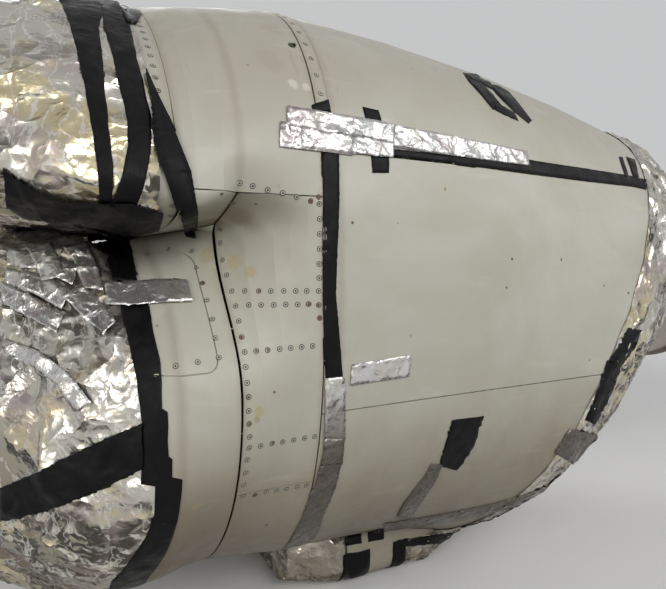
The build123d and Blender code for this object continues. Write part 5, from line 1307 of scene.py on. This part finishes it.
@dataclass
class Tapes:
    """The black and foil tapes: straps, rings, seams and patches."""

    view: PhotoView
    finishes: Finishes
    wraps: dict[str, bpy.types.Object] = field(default_factory=dict)

    straps: tuple[RingBand, ...] = (
        RingBand(
            SCOOP_LEVEL,
            ((-9.0, 0.296), (4.5, 0.287), (15, 0.279), (31, 0.268), (47, 0.259), (70, 0.256),
             (110, 0.258), (140, 0.262), (182, 0.262)),
            ((-9.0, 0.312), (2.3, 0.312), (15, 0.310), (33, 0.316), (44, 0.336), (52, 0.346),
             (70, 0.340), (110, 0.312), (140, 0.308), (182, 0.306)),
        ),
        RingBand(
            SCOOP_LEVEL,
            ((-8.0, 0.300), (1.7, 0.327), (5.7, 0.338), (10, 0.340), (16, 0.334), (33, 0.325),
             (54, 0.341), (90, 0.345), (130, 0.340), (182, 0.330)),
            ((-8.0, 0.338), (1.9, 0.366), (6, 0.375), (10.6, 0.380), (16.6, 0.376), (24, 0.372),
             (58, 0.381), (90, 0.385), (130, 0.383), (182, 0.372)),
        ),
    )
    nose_ring: RingBand = RingBand(
        0.0,
        ((-230, 0.340), (-224, 0.345), (-205, 0.346), (-190, 0.352), (-178, 0.362), (-160, 0.352),
         (-150, 0.330), (-120, 0.322), (-90, 0.320), (-60, 0.318), (-40, 0.314), (-27.7, 0.313),
         (-19, 0.338), (-13, 0.360), (-7.8, 0.373), (-2.3, 0.373), (-1.9, 0.350), (8, 0.354),
         (15, 0.351), (21, 0.346), (30, 0.341), (44, 0.345), (54, 0.333)),
        ((-230, 0.392), (-224, 0.388), (-205, 0.392), (-190, 0.402), (-178, 0.412), (-160, 0.405),
         (-150, 0.392), (-120, 0.386), (-90, 0.384), (-60, 0.384), (-40, 0.384), (-28, 0.385),
         (-17, 0.405), (-9.8, 0.415), (-1.5, 0.420), (-1.4, 0.402), (1.9, 0.402), (2.0, 0.396),
         (9.8, 0.397), (9.9, 0.388), (17.4, 0.392), (23, 0.388), (29, 0.390), (37, 0.381),
         (48, 0.389), (54, 0.389)),
    )
    # Black tape under the scoop, carried on over ground that is only in shade: partly tape, partly
    # painted shade.
    chin: RingBand = RingBand(
        SCOOP_LEVEL,
        ((-176, 0.150), (-150, 0.135), (-90, 0.125), (-30, 0.135), (-12, 0.200), (-4, 0.262)),
        ((-176, 0.352), (-150, 0.365), (-90, 0.372), (-30, 0.365), (-12, 0.352), (-4, 0.345)),
        across=30,
    )
    nose_crown: RingBand = RingBand(
        0.0, ((50, 0.320), (70, 0.285), (110, 0.285), (130, 0.320)),
        ((50, 0.392), (70, 0.398), (110, 0.398), (130, 0.392)), across=16,
    )
    strips: tuple[PhotoStrip, ...] = (
        PhotoStrip(
            "door_front_black", Tape.BLACK,
            ((321.5, 151), (322, 200), (321.8, 250), (321.8, 300), (323, 340), (324.5, 379)),
            ((338, 151), (338.5, 200), (336.5, 250), (335, 295), (338, 330), (342, 379)),
        ),
        PhotoStrip(
            "door_front_foil", Tape.FOIL, ((324, 378), (324, 410), (323, 439)),
            ((343.5, 376), (344, 410), (344, 439)),
        ),
        PhotoStrip(
            "door_front_dark_foil", Tape.FOIL, ((323, 438), (322, 452), (319, 465)),
            ((343.5, 438), (342, 452), (341, 464)), 0.0006,
        ),
        PhotoStrip(
            "door_front_low_foil", Tape.FOIL,
            ((319, 464), (315, 481), (308, 498), (300, 520), (290, 538), (284, 548)),
            ((340, 463), (335, 485), (329, 500), (322, 516), (318, 530), (311, 541)),
        ),
        PhotoStrip(
            "splice_foil_patch", Tape.FOIL, ((279, 122), (278.5, 135), (278.7, 147)),
            ((352, 127), (352, 141), (352, 156)), 0.0004,
        ),
        PhotoStrip(
            "top_seam_foil_high", Tape.FOIL, ((286, 106.5), (327, 113), (369, 120), (394, 125)),
            ((286, 126), (327, 133), (369, 140), (392, 144)), 0.0010,
        ),
        PhotoStrip(
            "top_seam_foil_low", Tape.FOIL, ((300, 127), (346, 136), (392, 143)),
            ((300, 148), (346, 153), (392.5, 158)), 0.0012,
        ),
        PhotoStrip(
            "top_seam_foil_aft", Tape.FOIL, ((369, 121), (444, 134.6), (490, 144), (526, 151.6)),
            ((369, 144), (444, 155), (490, 161), (528, 166)),
        ),
        PhotoStrip(
            "top_seam_black", Tape.BLACK,
            ((392, 149), (444, 155), (527, 160), (580, 168), (628, 175.6), (645, 180)),
            ((393, 157), (444, 162.5), (522, 173.5), (580, 181), (632, 187), (645, 190)),
        ),
        PhotoStrip(
            "seam_cross_high", Tape.BLACK, ((361.5, 107), (364, 116), (366, 124)),
            ((377.5, 110.5), (380, 119), (382, 127)),
        ),
        PhotoStrip(
            "seam_cross_low", Tape.BLACK, ((370, 155), (371, 164), (371.4, 173)),
            ((387.7, 156), (388, 165), (388, 173)),
        ),
        PhotoStrip(
            "splice_black_patch", Tape.BLACK, ((310.5, 105.5), (311.5, 109), (312.7, 112)),
            ((327.5, 99.5), (329, 106), (330, 113)),
        ),
        PhotoStrip("aft_mark_one", Tape.BLACK, ((618, 157), (621, 167), (624, 177)),
                   ((621.5, 157.5), (625, 168), (628, 178))),
        PhotoStrip("aft_mark_two", Tape.BLACK, ((625, 157), (629, 167), (632, 178)),
                   ((634, 160), (636, 169), (638, 178))),
        PhotoStrip(
            "door_foil_patch", Tape.FOIL, ((351, 364), (350, 374), (349, 385)),
            ((410, 354.5), (409, 365), (407.5, 376)),
        ),
        PhotoStrip(
            "lower_door_black_patch", Tape.BLACK,
            ((451, 420), (447, 434), (443, 448), (439, 462), (440, 466)),
            ((483, 415.5), (478, 430), (473, 446), (466, 457), (456, 470)), ragged=1.6,
        ),
        PhotoStrip(
            "drain_foil", Tape.FOIL, ((430, 463), (424, 475), (414, 488), (402, 504), (396, 516)),
            ((441, 464), (436, 478), (427, 492), (416, 508), (410, 518)), ragged=1.0,
        ),
        PhotoStrip(
            "upper_patch_fore", Tape.BLACK, ((462, 73), (468, 82), (480, 95), (492, 110)),
            ((478, 75), (481, 83), (490, 93), (501, 106)), ragged=1.0,
        ),
        PhotoStrip(
            "upper_patch_aft", Tape.BLACK, ((487, 84), (498, 97), (512, 111), (528, 124)),
            ((498, 86), (508, 92), (518, 104), (531, 121)), ragged=1.0,
        ),
        PhotoStrip(
            "upper_patch_top", Tape.BLACK, ((464, 74), (476, 77), (490, 83)),
            ((472, 80), (482, 85), (492, 90)), ragged=0.8,
        ),
        PhotoStrip(
            "upper_patch_foot", Tape.BLACK, ((492, 99), (501, 106), (514, 113)),
            ((494, 110), (503, 115), (517, 121)), ragged=0.8,
        ),
        PhotoStrip(
            "aft_black_high", Tape.BLACK, ((627, 328), (619, 345), (607, 362)),
            ((641, 330), (634, 348), (620, 366)), 0.0004, 1.6,
        ),
        PhotoStrip(
            "aft_black_low", Tape.BLACK, ((606, 360), (600, 380), (593, 400), (584, 420)),
            ((622, 362), (614, 385), (605, 405), (594, 424)), 0.0004, 1.2,
        ),
        PhotoStrip(
            "aft_foot_foil", Tape.FOIL, ((568, 428), (561, 440), (553, 452)),
            ((600, 436), (590, 452), (580, 469)), 0.0008, 2.0,
        ),
        PhotoStrip(
            "belly_seam_foil", Tape.FOIL,
            ((383, 523), (428, 516), (460, 510), (496, 502), (524, 494), (552, 484), (574, 476)),
            ((383, 532), (437, 523), (470, 517), (500, 510), (533, 502), (556, 493), (575, 484)),
            ragged=1.2,
        ),
        PhotoStrip(
            "belly_seam_black", Tape.BLACK,
            ((396, 540), (440, 534), (487, 527), (512, 518), (540, 504), (558, 495), (572, 486)),
            ((400, 547), (440, 543), (487, 535), (514, 527), (541, 513), (560, 503), (574, 494)),
            ragged=1.0,
        ),
        PhotoStrip(
            "cooler_black_top", Tape.BLACK, ((344, 536), (362, 533), (383, 529)),
            ((345, 546), (362, 543), (383, 539)), ragged=1.0,
        ),
        PhotoStrip(
            "nose_shiny_strip", Tape.FOIL, ((104, 283), (130, 283), (160, 281), (187, 281)),
            ((106, 306), (130, 307), (160, 304), (192, 303)), 0.0026, 1.6,
        ),
        # Black under the scoop's lip: partly tape, partly painted shade where the gap below is only in
        # shade.
        PhotoStrip(
            "scoop_chin", Tape.BLACK,
            ((4, 168), (18, 180), (36, 190), (62, 199), (95, 202), (130, 202), (163, 212)),
            ((6, 206), (24, 216), (50, 222), (80, 223), (104, 228), (126, 235), (158, 229)), 0.0030, 1.2,
        ),
        PhotoStrip(
            "ring_top", Tape.BLACK,
            ((68, 222), (88, 230), (98, 236), (106, 256), (112, 281)),
            ((108, 232), (120, 240), (129, 254), (134, 268), (138, 283)), 0.0030, 1.0,
        ),
        *(
            PhotoStrip(f"nose_foil_strip_{i}", Tape.FOIL, one, other, 0.0006 + 0.0003 * i, 1.2)
            for i, (one, other) in enumerate((
                (((8, 250), (42, 253), (80, 266)), ((6, 266), (38, 270), (72, 286))),
                (((6, 268), (38, 274), (70, 290)), ((5, 284), (34, 294), (62, 310))),
                (((2, 282), (32, 296), (64, 316)), ((2, 304), (30, 318), (56, 334))),
                (((26, 248), (34, 262), (42, 282)), ((50, 244), (58, 256), (66, 276))),
                (((62, 248), (74, 262), (84, 290)), ((86, 244), (96, 264), (104, 292))),
                (((2, 338), (40, 352), (68, 372), (92, 402)),
                 ((6, 354), (34, 366), (56, 384), (76, 412))),
                (((62, 296), (82, 318), (104, 336)), ((82, 286), (102, 304), (116, 322))),
            ))
        ),
        PhotoStrip(
            "nose_diagonal", Tape.BLACK,
            ((142, 423), (120, 432), (90, 446), (61, 460), (30, 475), (1, 487)),
            ((142, 468), (118, 481), (96, 491), (70, 502), (46, 511), (1, 520)), 0.0030, 1.4,
        ),
        PhotoStrip(
            "scoop_tail_strap", Tape.BLACK,
            ((144, 72), (149, 95), (151, 120), (152, 145), (160, 168), (174, 204), (188, 238)),
            ((146, 74), (156, 96), (166, 116), (176, 136), (190, 172), (195, 205), (197, 240)),
            0.0070, 0.6,
        ),
        PhotoStrip(
            "scoop_black_patch", Tape.BLACK, ((119, 5), (123, 14), (126, 22)),
            ((139, 8), (141, 16), (135, 26)), 0.0016, 0.8,
        ),
    )
    mirrored: tuple[str, ...] = (
        "door_front_black", "door_front_foil", "door_front_dark_foil", "door_front_low_foil",
        "top_seam_foil_aft", "top_seam_black", "belly_seam_foil", "belly_seam_black",
        "scoop_tail_strap",
    )

    def cooler_bands(self) -> list[RingBand]:
        """Tapes round the oil cooler's fairing, at the edges of its foils."""
        return [
            RingBand(-0.43, ((-172, fore), (-8, fore)), ((-172, aft), (-8, aft)), step=1.0, across=7)
            for fore, aft in ((0.955, 1.040), (1.120, 1.165))
        ]

    def build(self) -> list[bpy.types.Object]:
        """Lay all the tapes: black ones as one piece and foil ones as another."""
        scoop = Skin(self.wraps["scoop_foil_wrap"], "scoop_cowl", "forward_upper_cowl")
        nose = Skin(
            self.wraps["nose_foil_wrap"], "nose_cowl", "left_cheek_panel", "right_cheek_panel",
        )
        cooler = Skin(
            self.wraps["cooler_inlet_foil"], self.wraps["cooler_exit_foil"], "oil_cooler_fairing",
            "oil_cooler_flap",
        )
        bands = (self.chin, *self.straps)
        straps = gathered(
            "scoop_straps", [band.strip(scoop, 3.0 + i) for i, band in enumerate(bands)],
            self.finishes.black_tape,
        )
        ring = gathered(
            "nose_ring_tape", [self.nose_ring.strip(nose, 9.0), self.nose_crown.strip(nose, 8.0)],
            self.finishes.black_tape,
        )
        bands = gathered(
            "cooler_tapes",
            [band.strip(cooler, 12.0 + i) for i, band in enumerate(self.cooler_bands())],
            self.finishes.black_tape,
        )
        pieces = [straps, ring, bands]
        skin = Skin(
            *pieces, *self.wraps.values(),
            *(node for node in Cowling.painted if node != "inlet_duct"),
        )
        for tape, name, node, material in (
            (Tape.BLACK, "black_tapes", "black_tape", self.finishes.black_tape),
            (Tape.FOIL, "foil_tapes", "foil_tape", self.finishes.foil_tape),
        ):
            made = []
            for i, strip in enumerate(self.strips):
                if strip.tape is not tape:
                    continue
                made.append(strip.strip(skin, self.view, float(i)))
                if strip.name in self.mirrored:
                    made.append(strip.strip(skin, self.view, i + 0.5, Side.RIGHT))
            piece = gathered(name, made, material)
            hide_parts(node)
            pieces.append(piece)
        return pieces


@dataclass
class PowerSection:
    """The engine inside and behind the cowling: frames, gearbox, cases and rotors."""

    finishes: Finishes
    frames: tuple[str, ...] = (
        "forward_frame", "middle_frame", "aft_frame", "left_longeron", "right_longeron",
        "left_front_mount", "right_front_mount",
    )
    castings: tuple[str, ...] = (
        "gearbox_front_case", "gearbox_rear_case", "air_inlet_housing", "accessory_gearbox",
        "fuel_control", "compressor_case", "oil_cooler",
    )
    hot: tuple[str, ...] = (
        "diffuser", "combustion_case", "combustion_liners", "turbine_case", "exhaust_case",
        "turbine_rotor",
    )

    def build(self) -> list[str]:
        """Give every node that isn't painted or wrapped its metal, and list those nodes."""
        metals = {
            node: material for names, material in (
                (self.frames, self.finishes.frame_alloy), (self.castings, self.finishes.cast_alloy),
                (self.hot, self.finishes.hot_alloy),
            ) for node in names
        }
        bare = [
            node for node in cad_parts
            if node not in Cowling.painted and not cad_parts[node].hide_render
        ]
        for node in bare:
            dress(node, metals.get(node, self.finishes.steel))
        return bare


@dataclass(frozen=True)
class Lamp:
    """A large soft lamp: where it stands, what it faces, its size and its power."""

    name: str
    place: tuple[float, float, float]
    target: tuple[float, float, float]
    size: tuple[float, float]
    power: float
    colour: Colour = (1.0, 1.0, 1.0)

    def build(self) -> None:
        """Make the lamp."""
        data = bpy.data.lights.new(self.name, "AREA")
        data.shape = "RECTANGLE"
        data.size, data.size_y = self.size
        data.energy = self.power
        data.color = self.colour
        lamp = shown(self.name, data)
        lamp.location = self.place
        way = Vector(self.target) - Vector(self.place)
        lamp.rotation_euler = way.to_track_quat("-Z", "Y").to_euler()


@dataclass
class Studio:
    """A plain pale floor, a pale world and soft lamps."""

    floor_z: float
    reach: float = 60.0
    lamps: tuple[Lamp, ...] = (
        Lamp("key_lamp", (2.6, -2.8, 2.4), (0.9, 0.0, 0.3), (2.6, 1.6), 38.0),
        Lamp("door_lamp", (0.8, -4.2, 2.1), (1.0, 0.0, 0.30), (2.6, 1.0), 56.0),
        Lamp("front_lamp", (-2.8, -2.9, 1.3), (0.4, -0.2, 0.12), (1.2, 2.2), 44.0, (1.0, 0.96, 0.88)),
        Lamp("far_lamp", (1.2, 3.8, 3.2), (1.2, 0.0, 0.3), (3.6, 1.4), 70.0),
    )

    def floor(self) -> bpy.types.Object:
        """The floor, a little uneven in tone."""
        shader = Shader("studio_floor")
        tone = shader.mixed(shader.noise(0.8, 4.0), (0.78, 0.78, 0.77), (0.84, 0.84, 0.83))
        tone = shader.mixed(self.seen(shader), (0.13, 0.11, 0.085), tone)
        rough = shader.ranged(shader.noise(3.0, 3.0), 0.3, 0.7, 0.75, 0.85)
        shader.finish(tone, rough, shader.bumped(shader.noise(60.0), 0.05, 0.001))
        away = shader.node("ShaderNodeVectorMath", "Value", {0: shader.place}, operation="LENGTH")
        far = shader.ranged(away, 3.5, 9.0, 0.0, 0.62)
        shader.join(shader.surface.inputs["Emission Strength"],
                    shader.maths("MULTIPLY", far, self.seen(shader)))
        shader.surface.inputs["Emission Color"].default_value = (0.80, 0.80, 0.80, 1.0)
        mesh = bpy.data.meshes.new("floor")
        half = self.reach / 2
        mesh.from_pydata(
            [(-half, -half, self.floor_z), (half, -half, self.floor_z), (half, half, self.floor_z),
             (-half, half, self.floor_z)], [], [(0, 1, 2, 3)],
        )
        mesh.materials.append(shader.material)
        floor = shown("floor", mesh)
        return floor

    def seen(self, nodes: Nodes) -> bpy.types.NodeSocket:
        """1 on rays that the camera, metal or glass sees, and 0 on rays that light other things."""
        path = nodes.tree.nodes.new("ShaderNodeLightPath").outputs
        whole = path["Is Camera Ray"]
        for label in ("Is Glossy Ray", "Is Transmission Ray"):
            whole = nodes.maths("MAXIMUM", whole, path[label])
        return whole

    def world(self) -> None:
        """A pale sky, brightest at its rim and greyer overhead."""
        world = bpy.data.worlds.new("studio_world")
        world.use_nodes = True
        nodes = Nodes(world.node_tree)
        light = nodes.tree.nodes["Background"]
        place = nodes.node("ShaderNodeTexCoord", "Generated", {})
        height = nodes.node("ShaderNodeSeparateXYZ", "Z", {"Vector": place})
        rise = nodes.node("ShaderNodeMapRange", "Result",
                          {"From Min": 0.22, "From Max": 0.80, "Value": height})
        sky = nodes.mixed(rise, (0.80, 0.81, 0.82), (0.15, 0.15, 0.155))
        nodes.join(light.inputs["Color"], nodes.mixed(self.seen(nodes), sky, (0.66, 0.665, 0.67)))
        light.inputs["Strength"].default_value = 0.85
        bpy.context.scene.world = world

    def build(self) -> None:
        """Set the stage and its light."""
        self.floor()
        self.world()
        for lamp in self.lamps:
            lamp.build()
        bpy.context.scene.view_settings.view_transform = "Standard"


def dress(node: str, material: bpy.types.Material) -> None:
    """Give a CAD node one finish."""
    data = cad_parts[node].data
    data.materials.clear()
    data.materials.append(material)


def main() -> None:
    """Build the camera, the finishes and every sub-assembly in order."""
    noise.seed_set(FOLD_SEED)
    view = PhotoView()
    view.build()
    skin = Skin(
        "scoop_foil", "nose_foil", "aft_foil", "cooler_foil", "oil_cooler_flap",
        *(node for node in Cowling.painted if node not in ("inlet_duct", "oil_cooler_flap")),
    )
    finishes = Finishes.build(skin, view)
    wraps = FoilWraps(finishes, Tapes.straps, Tapes.nose_ring).build()
    parts = (
        ("cowling", Cowling(skin, view, finishes)),
        ("tapes", Tapes(view, finishes, {piece.name: piece for piece in wraps})),
        ("power section", PowerSection(finishes)),
    )
    for name, part in parts:
        made = part.build()
        log.info("%s: %d pieces", name, len(made))
    Studio(CAD_BOX[0].z - 0.004).build()


if __name__ == "__main__":
    main()
